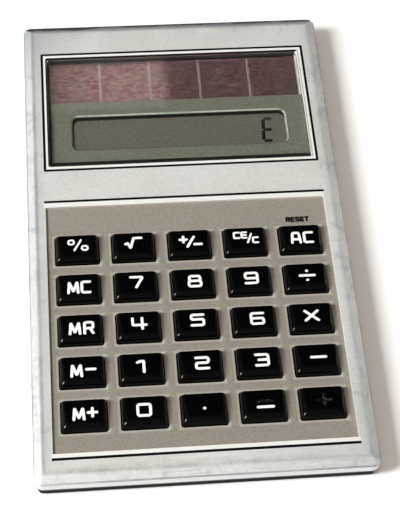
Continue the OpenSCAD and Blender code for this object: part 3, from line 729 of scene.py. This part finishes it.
# Each legend: its signs, each with its lower left corner from the key's middle, its width and height, in mm.
capital_m = (-2.4, -1.55, 2.1, 2.6)
legends = {
    "key_percent": [("oval", -2.05, 0.65, 1.25, 1.05), ("slash", -0.75, -0.85, 1.5, 2.55),
                    ("oval", 0.9, -0.9, 1.25, 1.05)],
    "key_root": [("root", -1.9, -0.97, 3.5, 2.55)],
    "key_sign": [("plus", -2.3, -0.1, 1.5, 1.4), ("slash", -0.7, -1.25, 1.5, 2.45),
                 ("bar", 0.85, -1.15, 1.55, 0.9)],
    "key_clear_entry": [("C", -2.65, 0.35, 1.2, 1.4), ("E", -0.95, 0.35, 1.05, 1.4),
                        ("slash", 0.3, -0.9, 0.9, 2.2), ("C", 1.5, -0.95, 1.1, 1.3)],
    "key_all_clear": [("A", -2.25, -1.5, 1.9, 2.5), ("C", 0.55, -1.5, 1.8, 2.5)],
    "key_memory_clear": [("M", *capital_m), ("C", 0.5, -1.55, 1.75, 2.6)],
    "key_memory_recall": [("M", *capital_m), ("R", 0.7, -1.55, 1.8, 2.6)],
    "key_memory_minus": [("M", *capital_m), ("bar", 0.75, -0.5, 1.75, 0.9)],
    "key_memory_plus": [("M", -2.3, -1.4, 2.1, 2.5), ("plus", 0.65, -0.85, 1.8, 1.8)],
    "key_divide": [("bar", -1.55, -0.45, 3.2, 0.9), ("dot", -0.45, 0.68, 1.0, 0.9),
                   ("dot", -0.45, -1.58, 1.0, 0.9)],
    "key_multiply": [("cross", -1.55, -1.15, 2.75, 2.3)],
    "key_minus": [("bar", -1.45, -0.45, 3.1, 0.9)],
    "key_point": [("dot", -0.65, -0.85, 1.0, 0.9)],
    "key_equals": [("bar", -1.45, -1.3, 3.2, 0.9)],
}
digit_size = (2.62, 2.5)
digit_places = {"0": (-1.53, -1.3), "1": (-1.3, -1.35), "2": (-1.1, -1.25), "3": (-0.85, -1.25),
                "4": (-1.45, -1.1), "5": (-1.3, -0.95), "6": (-0.85, -1.3), "7": (-1.3, -0.9),
                "8": (-1.1, -1.35), "9": (-1.15, -1.25)}
for number, place in digit_places.items():
    legends["key_" + number] = [(number, *place, *digit_size)]
worn_legends = {"key_equals": [("bar", -1.45, 0.0, 3.2, 0.9)], "key_plus": [("plus", -1.4, -1.3, 3.0, 2.6)]}
small_legends = ("key_clear_entry", "key_percent")
ink_w, small_ink_w, legend_right, legend_up = 0.62 * mm, 0.46 * mm, 0.2 * mm, 0.1 * mm
for kind, prints, ink in (("legend_", legends, ink_white), ("worn_legend_", worn_legends, ink_worn)):
    for name, marks in prints.items():
        origin = (keys[name][0] + legend_right, keys[name][1] + legend_up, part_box(name)[1].z)
        strokes = [stroke for mark in marks for stroke in placed(*mark, origin)]
        stroke_w = small_ink_w if name in small_legends else ink_w
        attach(printed(kind + name, strokes, stroke_w, ink), name)


# Key panel: a taupe moulding sunk into the face, with a close opening for every key.
# Its stakes pass through mat and board, and are headed over to hold them.
panel_low, panel_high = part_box("key_panel")


def panel_with_painted_rims(rim):
    """Taupe plastic with a cloudy grain, and a painted highlight: lighter in a rim round every opening."""
    finish = moulded("panel plastic", (0.262, 0.239, 0.203), 0.55, 0.5 * mm, 0.012 * mm, drift=0.30,
                     patch=0.6 * mm)
    tree = finish.node_tree
    place = axes(tree, spot(tree))
    clear = []
    for axis, middle, pitch, half in (("X", columns[2], columns[1] - columns[0], key_w / 2),
                                      ("Y", rows[2], rows[0] - rows[1], key_l / 2)):
        from_middle = calc(tree, "ABSOLUTE", calc(tree, "SUBTRACT", place[axis], middle))
        inner = calc(tree, "MINIMUM", from_middle, 2 * pitch)
        off = calc(tree, "PINGPONG", inner, pitch / 2)
        past = calc(tree, "SUBTRACT", from_middle, 2 * pitch)
        clear.append(calc(tree, "SUBTRACT", calc(tree, "MAXIMUM", off, past), half))
    away = calc(tree, "MAXIMUM", *clear)
    # Painted highlight: the rim round every opening is lighter.
    tinted(finish, fade(tree, away, rim, rim / 2, 0.0, 0.55), (0.52, 0.50, 0.45))
    return finish


panel_plastic = panel_with_painted_rims(rim=0.9 * mm)
panel_t, aperture_gap, panel_soft, soft_steps = 1.0 * mm, 0.2 * mm, 0.12 * mm, 3
panel_mesh = bmesh.new()
panel_outline = (panel_high.x - panel_low.x, panel_high.y - panel_low.y, 0.3 * mm)
panel_under = panel_high.z - panel_t
panel_middle = centre(panel_low, panel_high)
low_loops, high_loops = [[ring(panel_mesh, *panel_outline, height, panel_middle)]
                         for height in (panel_under, panel_high.z)]
wall(panel_mesh, [low_loops[0], high_loops[0]])
aperture = [(aperture_gap, panel_under)]
for step in range(soft_steps + 1):
    turn = step / soft_steps * math.pi / 2
    aperture.append((aperture_gap + panel_soft * (1 - math.cos(turn)),
                     panel_high.z - panel_soft * (1 - math.sin(turn))))
for middle in keys.values():
    loops = edged(panel_mesh, (key_w, key_l, key_corner), middle, aperture)
    low_loops.append(loops[0])
    high_loops.append(loops[-1])
flat(panel_mesh, low_loops)
flat(panel_mesh, high_loops)
panel = finished("pierced_panel", panel_mesh, panel_plastic)
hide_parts("key_panel")
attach(panel, "case")


def spread_tree():
    """Sets one made part at each of the points."""
    tree, given = new_tree("set at points", {"Points": "Geometry", "Part": "Object", "Finish": "Material"},
                           "Set")
    part = add(tree, "GeometryNodeObjectInfo", {"Object": given["Part"]}).outputs["Geometry"]
    many = geometry(tree, "InstanceOnPoints", {"Points": given["Points"], "Instance": part})
    real = geometry(tree, "RealizeInstances", {"Geometry": many})
    dressed = geometry(tree, "SetMaterial", {"Geometry": real, "Material": given["Finish"]})
    add(tree, "NodeGroupOutput", {"Set": dressed})
    return tree


set_at_points = spread_tree()


def repeated(name, part, points, finish):
    """Copies of a made part at these points, as one piece; the part itself is taken away."""
    base = bpy.data.meshes.new("points")
    base.from_pydata(points, [], [])
    made = grown(name, base, set_at_points, {"Part": part, "Finish": finish})
    bpy.data.objects.remove(part)
    return made


stake_d, stake_head_d, stake_foot = 1.6 * mm, 2.8 * mm, panel_low.z
head_flat_d, head_shoulder_d, head_round = 1.8 * mm, 2.6 * mm, 0.15 * mm
board_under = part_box("main_board")[0].z
stake_mesh = bmesh.new()
stake_loops = [disc(stake_mesh, diameter, height) for diameter, height in (
    (head_flat_d, stake_foot), (head_shoulder_d, stake_foot + head_round),
    (stake_head_d, board_under), (stake_d, board_under), (stake_d, panel_under))]
wall(stake_mesh, stake_loops)
stake_mesh.faces.new(stake_loops[0])
stake_mesh.faces.new(stake_loops[-1])
stake = finished("stake", stake_mesh, panel_plastic)
panel_stakes = repeated("panel_stakes", stake, [(*place, 0.0) for place in stakes], panel_plastic)
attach(panel_stakes, "case")
ink_black = moulded("black ink", (0.003, 0.003, 0.0035), 0.6, 0.3 * mm, 0.003 * mm, Specular_IOR_Level=0.08)
label_w, letter_w, letter_h, letter_pitch = 0.43 * mm, 0.64, 1.0, 1.07
label_left, label_up = 2.45 * mm, 5.25 * mm
label_key = keys["key_all_clear"]
label_origin = (label_key[0] - label_left, label_key[1] + label_up, panel_high.z)
label = [stroke for place, letter in enumerate("RESET")
         for stroke in placed(letter, place * letter_pitch, 0.0, letter_w, letter_h, label_origin)]
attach(printed("reset_label", label, label_w, ink_black), "case")


# Front case: a pale moulded shell under the aluminium, seen as a band along the edge.
# Its deck carries the face and the panel, and its bosses take the screws.
def case_with_painted_joint_shade(joint):
    """Pale plastic, painted black in a band just above the joint with the rear cover: a painted shade of the
    gap there.
    """
    finish = moulded("front case plastic", (0.74, 0.75, 0.75), 0.45, 0.6 * mm, 0.02 * mm, drift=0.08)
    tree = finish.node_tree
    height = axes(tree, spot(tree))["Z"]
    clean_above, black_below = 0.55 * mm, 0.3 * mm
    # Painted shade: the band above the joint fades to black.
    joint_shade = fade(tree, height, joint + clean_above, joint + black_below, kind="SMOOTHSTEP")
    tinted(finish, joint_shade, (0.012, 0.012, 0.013))
    return finish


cover_lip_h = 1.0 * mm
dress("front_case", case_with_painted_joint_shade(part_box("rear_cover")[1].z - cover_lip_h))


# Faceplate: a sheet of satin aluminium pressed to a flat face with a sloping edge, and glued to the deck.
# The window and the panel opening are punched, and handling has scuffed the slope and dulled the corners.
# Shade at the crease, the outer edge, the far slope and the window's cut edge is painted on.
def satin_aluminium(half_w, half_l, crease):
    """Satin sheet: grain along X, darkening towards the back and the left, and wear and painted shade set out
    by how far a point lies inside the outline.
    """
    finish, tree, shader = blank("satin aluminium", {"Metallic": 0.3})
    place = spot(tree)
    axis = axes(tree, place)

    def ease(value, start, stop, low=0.0, high=1.0):
        """A fade with soft ends."""
        return fade(tree, value, start, stop, low, high, "SMOOTHSTEP")

    def times(*values):
        """The product of amounts."""
        whole = values[0]
        for value in values[1:]:
            whole = calc(tree, "MULTIPLY", whole, value)
        return whole

    def cloud(scale, detail=4.0, rough=0.6, warp=0.0, vector=place):
        """Noise on the sheet, with a scale for each axis or one for all."""
        scales = scale if isinstance(scale, tuple) else (scale,) * 3
        moved = add(tree, "ShaderNodeMapping", {"Vector": vector, "Scale": scales}).outputs[0]
        return noise(tree, moved, 1.0, detail, rough, warp)

    # Where a point lies: how far inside the outline, at the sides or the ends, on the slope or the flat.
    gap_x = calc(tree, "SUBTRACT", half_w, calc(tree, "ABSOLUTE", axis["X"]))
    gap_y = calc(tree, "SUBTRACT", half_l, calc(tree, "ABSOLUTE", axis["Y"]))
    inset = calc(tree, "MINIMUM", gap_x, gap_y)
    side = calc(tree, "LESS_THAN", gap_x, gap_y)
    end = calc(tree, "SUBTRACT", 1.0, side)
    front = times(end, calc(tree, "LESS_THAN", axis["Y"], 0.0))
    far = times(end, calc(tree, "GREATER_THAN", axis["Y"], 0.0))
    lit_side = times(side, calc(tree, "LESS_THAN", axis["X"], 0.0))
    on_slope = ease(inset, crease + 0.15 * mm, crease - 0.25 * mm)
    on_flat = calc(tree, "SUBTRACT", 1.0, on_slope)
    aslant = calc(tree, "SUBTRACT", axis["Y"], axis["X"])
    along = add(tree, "ShaderNodeMix", {0: side, 2: axis["X"], 3: axis["Y"]}).outputs[0]
    edgewise = add(tree, "ShaderNodeCombineXYZ", {"X": inset, "Y": along, "Z": side}).outputs[0]

    # How much of each mark lies there.
    # Darker towards the back and the left end, in clouds.
    darker_back_and_left = calc(tree, "ADD", ease(axis["Y"], 36 * mm, 58 * mm, 0.0, 0.18),
                   ease(axis["X"], -22 * mm, -34 * mm, 0.0, 0.10))
    corners = calc(tree, "ADD", ease(aslant, 70 * mm, 92 * mm, 0.0, 0.7),
                   ease(aslant, -58 * mm, -94 * mm, 0.0, 0.42))
    streak = ease(cloud((2300.0, 150.0, 5.0), 4.0, 0.65, vector=edgewise), 0.48, 0.74, 0.0, 0.6)
    handled = times(ease(inset, crease + 2.8 * mm, crease - 0.2 * mm, 0.0, 0.42), side, on_flat,
                    ease(cloud(140.0, 5.0), 0.3, 0.62, 0.35, 1.0))
    grime = times(ease(inset, crease + 2.2 * mm, crease + 0.3 * mm),
                  ease(inset, crease - 0.3 * mm, crease + 0.4 * mm),
                  ease(axis["X"], 34 * mm, -30 * mm, 0.25, 0.75), front,
                  ease(cloud((200.0, 500.0, 500.0), 6.0, 0.7), 0.34, 0.66))
    smudge = calc(tree, "ADD", cloud(230.0, 6.0, 0.7, 0.8), ease(inset, 5.5 * mm, 1.0 * mm, 0.0, 0.12))
    scratch = ease(cloud((14.0, 1500.0, 1500.0), 1.0, warp=0.3), 0.70, 0.78, 0.0, 0.30)
    worn = ease(cloud(110.0, 3.0), 0.35, 0.62, 0.55, 1.0)
    # Painted shade: a dark line along the crease between flat and slope, darker on the left side.
    from_line = calc(tree, "ABSOLUTE", calc(tree, "SUBTRACT", inset, crease + 0.15 * mm))
    line = times(ease(from_line, 0.65 * mm, 0.1 * mm), calc(tree, "MULTIPLY_ADD", lit_side, 0.38, 0.22), worn)
    # Painted shade: a dark rim along the outer edge of the slope.
    rim = times(ease(inset, 0.40 * mm, 0.12 * mm, 0.0, 0.75), worn)
    smeared = times(ease(inset, crease + 3.4 * mm, crease + 0.6 * mm), far,
                    ease(cloud((90.0, 260.0, 260.0), 5.0, 0.65), 0.46, 0.66, 0.0, 0.5))
    # Painted shade: the far slope is darkened, and blackened in a ragged band along its outer edge, wider
    # towards the left.
    far_slope_shade = times(far, ease(inset, crease + 0.9 * mm, crease - 0.9 * mm, 0.0, 0.9))
    reach = ease(axis["X"], -4 * mm, -26 * mm, 1.0 * mm, 1.7 * mm)
    broken = calc(tree, "SUBTRACT", reach, ease(cloud((160.0, 30.0, 30.0), 3.0), 0.36, 0.66, 0.0, 0.9 * mm))
    far_edge_shade = times(far, ease(calc(tree, "SUBTRACT", broken, inset), -0.4 * mm, 0.25 * mm, 0.0, 0.97))
    dots = add(tree, "ShaderNodeTexVoronoi", {"Vector": place, "Scale": 70.0}).outputs["Distance"]

    # The marks in the order in which they lie over the metal, each with its colour.
    tint = blended(tree, ease(cloud(45.0, 5.0), 0.3, 0.7), (0.760, 0.755, 0.712), (0.850, 0.852, 0.832))
    for amount, colour in (
            (times(darker_back_and_left, ease(cloud(60.0, 4.0), 0.3, 0.65, 0.4, 1.2)), (0.47, 0.50, 0.52)),
            (times(corners, ease(cloud(90.0, 5.0), 0.3, 0.6, 0.5, 1.1)), (0.47, 0.50, 0.50)),
            (ease(cloud(1300.0, 4.0, 0.7), 0.38, 0.68, 0.0, 0.26), (0.53, 0.53, 0.51)),
            # Painted shade: the slopes at the left and the front, which face the lamps, are dimmed a little
            # towards blue-grey.
            (times(lit_side, on_slope, 0.10), (0.50, 0.53, 0.56)),
            (times(front, on_slope, 0.18), (0.50, 0.53, 0.56)),
            (times(on_slope, streak), (0.40, 0.44, 0.47)),
            (handled, (0.44, 0.48, 0.50)),
            (grime, (0.40, 0.395, 0.375)),
            (ease(smudge, 0.60, 0.80, 0.0, 0.5), (0.38, 0.42, 0.46)),
            (scratch, (0.42, 0.43, 0.43)),
            (line, (0.24, 0.26, 0.28)),
            (rim, (0.20, 0.23, 0.27)),
            (smeared, (0.43, 0.46, 0.48)),
            (far_slope_shade, (0.135, 0.140, 0.148)),
            (far_edge_shade, (0.015, 0.016, 0.019)),
            (ease(dots, 0.030, 0.012, 0.0, 0.6), (0.16, 0.16, 0.17))):
        tint = blended(tree, amount, tint, colour)
    grain = cloud((120.0, 2600.0, 2600.0), 2.0)
    bump = add(tree, "ShaderNodeBump", {"Height": grain, "Distance": 0.0015 * mm}).outputs[0]
    feed(shader, {"Base Color": tint, "Roughness": ease(grain, 0.3, 0.7, 0.34, 0.50), "Normal": bump})
    return finish


face_low, face_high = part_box("faceplate")
lens_low, lens_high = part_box("window_lens")
face_w, face_l = face_high.x - face_low.x, face_high.y - face_low.y
face_corner, least_corner, crease_w, edge_t = 1.8 * mm, 0.25 * mm, 1.9 * mm, 0.2 * mm
plate_t, bend_r, bend_steps, edge_soft, flat_lead = 0.5 * mm, 2.0 * mm, 5, 0.06 * mm, 0.4 * mm
slope_drop = face_high.z - face_low.z - edge_t
tilt = math.atan2(slope_drop, crease_w)
bend_run = bend_r * math.tan(tilt / 2)
plate_under = face_high.z - plate_t
foot_w = crease_w - (plate_under - face_low.z) * crease_w / slope_drop
face_mesh = bmesh.new()
face_profile = [(crease_w, plate_under), (foot_w, face_low.z), (edge_soft, face_low.z),
                (0.0, face_low.z + edge_soft), (0.0, face_low.z + edge_t - edge_soft),
                (edge_soft, face_low.z + edge_t + edge_soft * math.tan(tilt))]
for step in range(bend_steps + 1):
    lean = tilt * (1 - step / bend_steps)
    face_profile.append((crease_w + bend_run - bend_r * math.sin(lean),
                         face_high.z - bend_r * (1 - math.cos(lean))))
face_profile.append((crease_w + bend_run + flat_lead, face_high.z))
outer = [ring(face_mesh, face_w - 2 * inset, face_l - 2 * inset, max(face_corner - inset, least_corner),
              height, steps=8) for inset, height in face_profile]
wall(face_mesh, outer)
window_size = (60.4 * mm, 31.0 * mm, 0.2 * mm)
window_cut, painted_shade_short = 0.3 * mm, 0.5 * mm
window_middle = centre(lens_low, lens_high)
window_edge = edged(face_mesh, window_size, window_middle,
                    ((0.0, plate_under), (0.0, face_high.z - window_cut), (window_cut, face_high.z)))
# The window's cut edge is painted: black on the left, behind and in front is a painted shade, and grey at its
# right end is a painted highlight where it faces the lamp.
edge_painted_shade, edge_painted_light = 1, 2
for face in face_mesh.faces:
    middle = face.calc_center_median()
    within_x = abs(middle.x) < window_size[0] / 2 + window_cut
    within_y = abs(middle.y - window_middle[1]) < window_size[1] / 2 + window_cut
    if within_x and within_y:
        face.material_index = edge_painted_light if middle.x > window_size[0] / 2 - painted_shade_short else edge_painted_shade
panel_lap, opening_soft = 1.2 * mm, 0.05 * mm
opening_size = (panel_outline[0] - 2 * panel_lap, panel_outline[1] - 2 * panel_lap, 0.15 * mm)
opening_edge = edged(face_mesh, opening_size, panel_middle,
                     ((0.0, plate_under), (0.0, face_high.z - opening_soft), (opening_soft, face_high.z)))
flat(face_mesh, [outer[0], window_edge[0], opening_edge[0]])
flat(face_mesh, [outer[-1], window_edge[-1], opening_edge[-1]])
aluminium = satin_aluminium(face_w / 2, face_l / 2, crease_w)
# Painted highlight: grey for the right end of the window's cut edge.
cut_painted_light = moulded("grey cut edge painted light", (0.30, 0.295, 0.265), 0.5, 0.3 * mm, 0.004 * mm, Metallic=0.2)
face = finished("pressed_faceplate", face_mesh, aluminium, painted_shade_black, cut_painted_light, crease=20)
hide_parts("faceplate")
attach(face, "case")


# Print on the face: a fine black line round the window and a rule above and below the panel.
# Inside the line the aluminium is left bright, and so are the strips between rules and panel.
def barred(name, size, middle, top, thickness, finish):
    """A flat bar with small round corners."""
    mesh = bmesh.new()
    loops = [ring(mesh, *size, height, middle, steps=2) for height in (top - thickness, top)]
    wall(mesh, loops, smooth=False)
    mesh.faces.new(loops[0])
    mesh.faces.new(loops[-1])
    return finished(name, mesh, finish)


bright = moulded("bright aluminium", (0.93, 0.925, 0.89), 0.32, 0.5 * mm, 0.002 * mm, drift=0.04,
                 Metallic=0.2)
line_top, bright_top, print_t = face_high.z + 0.012 * mm, face_high.z + 0.006 * mm, 0.02 * mm
line_size, line_w = (63.15 * mm, 34.1 * mm, 0.25 * mm), 0.58 * mm
line_inner = (line_size[0] - 2 * line_w, line_size[1] - 2 * line_w, 0.1 * mm)
window_rim = (window_size[0] + 2 * window_cut, window_size[1] + 2 * window_cut, window_size[2] + window_cut)
prints = [framed(name, outside, window_middle, inside, window_middle, top, print_t, ink)
          for name, outside, inside, top, ink in (
              ("window_line", line_size, line_inner, line_top, ink_black),
              ("window_bright", line_inner, window_rim, bright_top, bright))]
rule_l, rule_w, rule_corner, strip_corner = 63.4 * mm, 0.6 * mm, 0.1 * mm, 0.05 * mm
panel_back, panel_front = panel_high.y - panel_lap, panel_low.y + panel_lap
rule_behind, rule_before = 1.465 * mm, 1.225 * mm
for name, rule_y, panel_edge in (("upper", panel_back + rule_behind, panel_back),
                                 ("lower", panel_front - rule_before, panel_front)):
    towards = math.copysign(rule_w / 2, panel_edge - rule_y)
    strip_l = abs(panel_edge - rule_y - towards) - opening_soft
    strip_y = rule_y + towards + math.copysign(strip_l / 2, towards)
    prints.append(barred(name + "_rule", (rule_l, rule_w, rule_corner), (0.0, rule_y), line_top, print_t,
                         ink_black))
    prints.append(barred(name + "_bright", (rule_l, strip_l, strip_corner), (0.0, strip_y), bright_top,
                         print_t, bright))
for mark in prints:
    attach(mark, "case")


# Window lens: a slab of clear acrylic, sawn to size and set into the deck flush under the face.
# Light scratches and finger marks dull its top.
def clear_acrylic():
    """Clear plastic that lets lamps through to what is behind it."""
    finish, tree, shader = blank("clear acrylic", {"Base Color": (0.97, 0.98, 0.96, 1.0), "IOR": 1.49,
                                                   "Transmission Weight": 1.0})
    smear = noise(tree, spot(tree), 160.0, 6.0, 0.7)
    feed(shader, {"Roughness": fade(tree, smear, 0.4, 0.75, 0.0, 0.06)})
    lamp_ray = add(tree, "ShaderNodeLightPath").outputs["Is Shadow Ray"]
    through = add(tree, "ShaderNodeBsdfTransparent", {"Color": (0.92, 0.93, 0.91, 1.0)}).outputs[0]
    mixed = add(tree, "ShaderNodeMixShader", {0: lamp_ray, 1: shader.outputs[0], 2: through}).outputs[0]
    tree.links.new(mixed, tree.nodes["Material Output"].inputs["Surface"])
    return finish


lens_mesh = bmesh.new()
lens_soft, lens_corner, lens_gap = 0.1 * mm, 0.2 * mm, 0.03 * mm
lens_size = (lens_high.x - lens_low.x, lens_high.y - lens_low.y, lens_corner)
lens_loops = edged(lens_mesh, lens_size, window_middle,
                   ((0.0, lens_low.z + lens_gap), (0.0, lens_high.z - lens_soft), (-lens_soft, lens_high.z)))
lens_mesh.faces.new(lens_loops[0])
lens_mesh.faces.new(lens_loops[-1])
lens = finished("lens_slab", lens_mesh, clear_acrylic(), crease=15)
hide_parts("window_lens")
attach(lens, "case")
# A black border on the back of the lens hides its seat in the deck; its widths, widest along the front and at
# the left and thinnest at the right, are a painted shade of the window's recess.
clear = margined(lens_size, window_middle, left=0.50 * mm, right=0.05 * mm, front=1.30 * mm, back=0.30 * mm,
                 radius=0.1 * mm)
lens_mask = framed("window_mask", lens_size, window_middle, *clear, lens_low.z + 2 * mask_t, mask_t,
                   painted_shade_black)
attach(lens_mask, "case")


# Case screws: six plated self-tapping screws with a round head and a cross recess.
# They sit in wells in the rear cover and bite into the bosses of the front case.
screw_low, screw_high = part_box("case_screws")
screw_steel = moulded("plated steel", (0.46, 0.46, 0.45), 0.3, 0.3 * mm, 0.004 * mm, Metallic=1.0)
head_d, head_h, shank_d, screw_l = 3.2 * mm, 0.8 * mm, 1.8 * mm, 3.9 * mm
thread_pitch, thread_t = 0.6 * mm, 0.18 * mm
root_d = shank_d - 2 * thread_t
screw_mesh = bmesh.new()
head_foot = screw_low.z
head_top = head_foot + head_h
pan_flat_d, pan_bulge_d, pan_bulge_h, pan_side_h = 2.4 * mm, 2.95 * mm, 0.18 * mm, 0.42 * mm
profile = [(pan_flat_d, head_foot), (pan_bulge_d, head_foot + pan_bulge_h), (head_d, head_foot + pan_side_h),
           (head_d, head_top), (root_d, head_top)]
for turn in range(int((screw_l - shank_d / 2) / thread_pitch)):
    for share, diameter in ((0.2, root_d), (0.5, shank_d), (0.8, root_d)):
        profile.append((diameter, head_top + (turn + share) * thread_pitch))
profile.append((shank_d / 3, screw_high.z))
screw_loops = [disc(screw_mesh, diameter, height) for diameter, height in profile]
wall(screw_mesh, screw_loops)
screw_mesh.faces.new(screw_loops[-1])
arm, half, recess_h, recess_taper = 0.85 * mm, 0.2 * mm, 0.45 * mm, 0.7
cross = []
for x, y in ((1, 0), (0, 1), (-1, 0), (0, -1)):
    cross += [(x * arm + y * half, y * arm - x * half), (x * arm - y * half, y * arm + x * half),
              ((x - y) * half, (x + y) * half)]
cross_mouth, cross_floor = [[screw_mesh.verts.new((x * share, y * share, height)) for x, y in cross]
                            for share, height in ((1.0, head_foot), (recess_taper, head_foot + recess_h))]
wall(screw_mesh, [cross_mouth, cross_floor], smooth=False)
flat(screw_mesh, [screw_loops[0], cross_mouth])
screw_mesh.faces.new(cross_floor)
screw = finished("screw", screw_mesh, screw_steel, crease=35)
boss_x = (screw_high.x - screw_low.x - head_d) / 2
boss_ys = (screw_low.y + head_d / 2, (panel_back + window_front) / 2, screw_high.y - head_d / 2)
bosses = [(side * boss_x, y, 0.0) for side in (-1, 1) for y in boss_ys]
screws = repeated("cover_screws", screw, bosses, screw_steel)
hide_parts("case_screws")
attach(screws, "case")


# Table: a plain white sheet under soft daylight from the left, with a small ceiling lamp above.
# Far off it turns to plain white; the room is dimmer towards the back, which the sloping edges show.
scene = bpy.context.scene
scene.view_settings.view_transform = "Standard"
table_mesh = bmesh.new()
table_half, table_top = 40.0, -0.02 * mm
table_mesh.faces.new([table_mesh.verts.new((x * table_half, y * table_half, table_top))
                      for x, y in ((-1, -1), (1, -1), (1, 1), (-1, 1))])


def white_table():
    """White paper with its shadow; what looks at it sees it a little lifted here and plain white far off."""
    finish, tree, shader = blank("white table", {"Base Color": (0.93, 0.93, 0.93, 1.0), "Roughness": 0.8,
                                                 "Specular IOR Level": 0.1})
    rays = add(tree, "ShaderNodeLightPath").outputs
    seen = calc(tree, "MAXIMUM", rays["Is Camera Ray"], rays["Is Glossy Ray"])
    seen = calc(tree, "MAXIMUM", seen, rays["Is Transmission Ray"])
    away = add(tree, "ShaderNodeVectorMath", {0: spot(tree)}, operation="LENGTH").outputs["Value"]
    lift = calc(tree, "MULTIPLY", seen, fade(tree, away, 0.25, 1.5, 0.10, 0.85, "SMOOTHSTEP"))
    glow = add(tree, "ShaderNodeEmission", {"Color": (1.0, 0.91, 0.84, 1.0), "Strength": lift}).outputs[0]
    both = add(tree, "ShaderNodeAddShader", {0: shader.outputs[0], 1: glow}).outputs[0]
    tree.links.new(both, tree.nodes["Material Output"].inputs["Surface"])
    return finish


table = finished("table", table_mesh, white_table())


def lamp(name, place, width, length, power, colour):
    """A soft rectangular lamp that faces the part."""
    light = bpy.data.lights.new(name, "AREA")
    light.shape = "RECTANGLE"
    light.size, light.size_y = width, length
    light.energy = power
    light.color = colour
    made = bpy.data.objects.new(name, light)
    scene.collection.objects.link(made)
    made.location = place
    made.rotation_euler = (-Vector(place)).to_track_quat("-Z", "Y").to_euler()
    return made


lamp("window light", (-0.96, -0.30, 0.92), width=0.30, length=0.50, power=23.5, colour=(0.96, 0.98, 1.0))
ceiling = lamp("ceiling lamp", (-0.09, -0.17, 0.9), width=0.2, length=0.2, power=1.2,
               colour=(1.0, 0.90, 0.80))
ceiling.visible_glossy = False
world = bpy.data.worlds.new("room")
scene.world = world
world.use_nodes = True
room = world.node_tree
way = axes(room, add(room, "ShaderNodeTexCoord").outputs["Generated"])
near = fade(room, way["Y"], 0.42, -0.5, 0.03, 0.30, "SMOOTHSTEP")
left = fade(room, way["X"], 0.1, -0.9, 0.0, 0.3, "SMOOTHSTEP")
right = fade(room, way["X"], 0.3, 0.9, 0.0, 0.6, "SMOOTHSTEP")
low = fade(room, way["Z"], 0.5, 0.1)
level = calc(room, "ADD", calc(room, "MULTIPLY_ADD", low, right, near), left)
# A bright wall overhead, which the cells mirror: its edges lie at these slopes of X and Y to Z.
across = calc(room, "DIVIDE", way["X"], way["Z"])
back = calc(room, "DIVIDE", way["Y"], way["Z"])
patch = 0.45
for ratio, dark_at, bright_at in ((across, 0.081, 0.069), (across, -0.07, 0.03),
                                  (back, 0.748, 0.757), (back, 1.2, 1.0)):
    patch = fade(room, ratio, dark_at, bright_at, 0.0, patch, "SMOOTHSTEP")
level = calc(room, "ADD", level, patch)
haze = fade(room, way["Z"], 0.06, 0.02, 0.0, 0.9)
room.links.new(calc(room, "MAXIMUM", level, haze), room.nodes["Background"].inputs["Strength"])
room.nodes["Background"].inputs["Color"].default_value = (1.0, 0.92, 0.81, 1.0)


# Camera: held by hand above the near edge and a little to the left, looking down at the face.
# It is turned slightly about its own axis, so the part stands askew in the picture.
camera_place = Vector((-22.513, -169.719, 277.066)) * mm
camera_aim = Vector((2.121, -7.778, 7.0)) * mm
camera_roll = math.radians(4.725)
eye = bpy.data.cameras.new("camera")
eye.lens = 100.737
eye.sensor_fit = "AUTO"
eye.sensor_width = 36.0
eye.clip_start = 0.01
camera = bpy.data.objects.new("camera", eye)
scene.collection.objects.link(camera)
level_turn = (camera_aim - camera_place).to_track_quat("-Z", "Y").to_matrix().to_4x4()
camera.matrix_world = Matrix.Translation(camera_place) @ level_turn @ Matrix.Rotation(camera_roll, 4, "Z")
scene.camera = camera
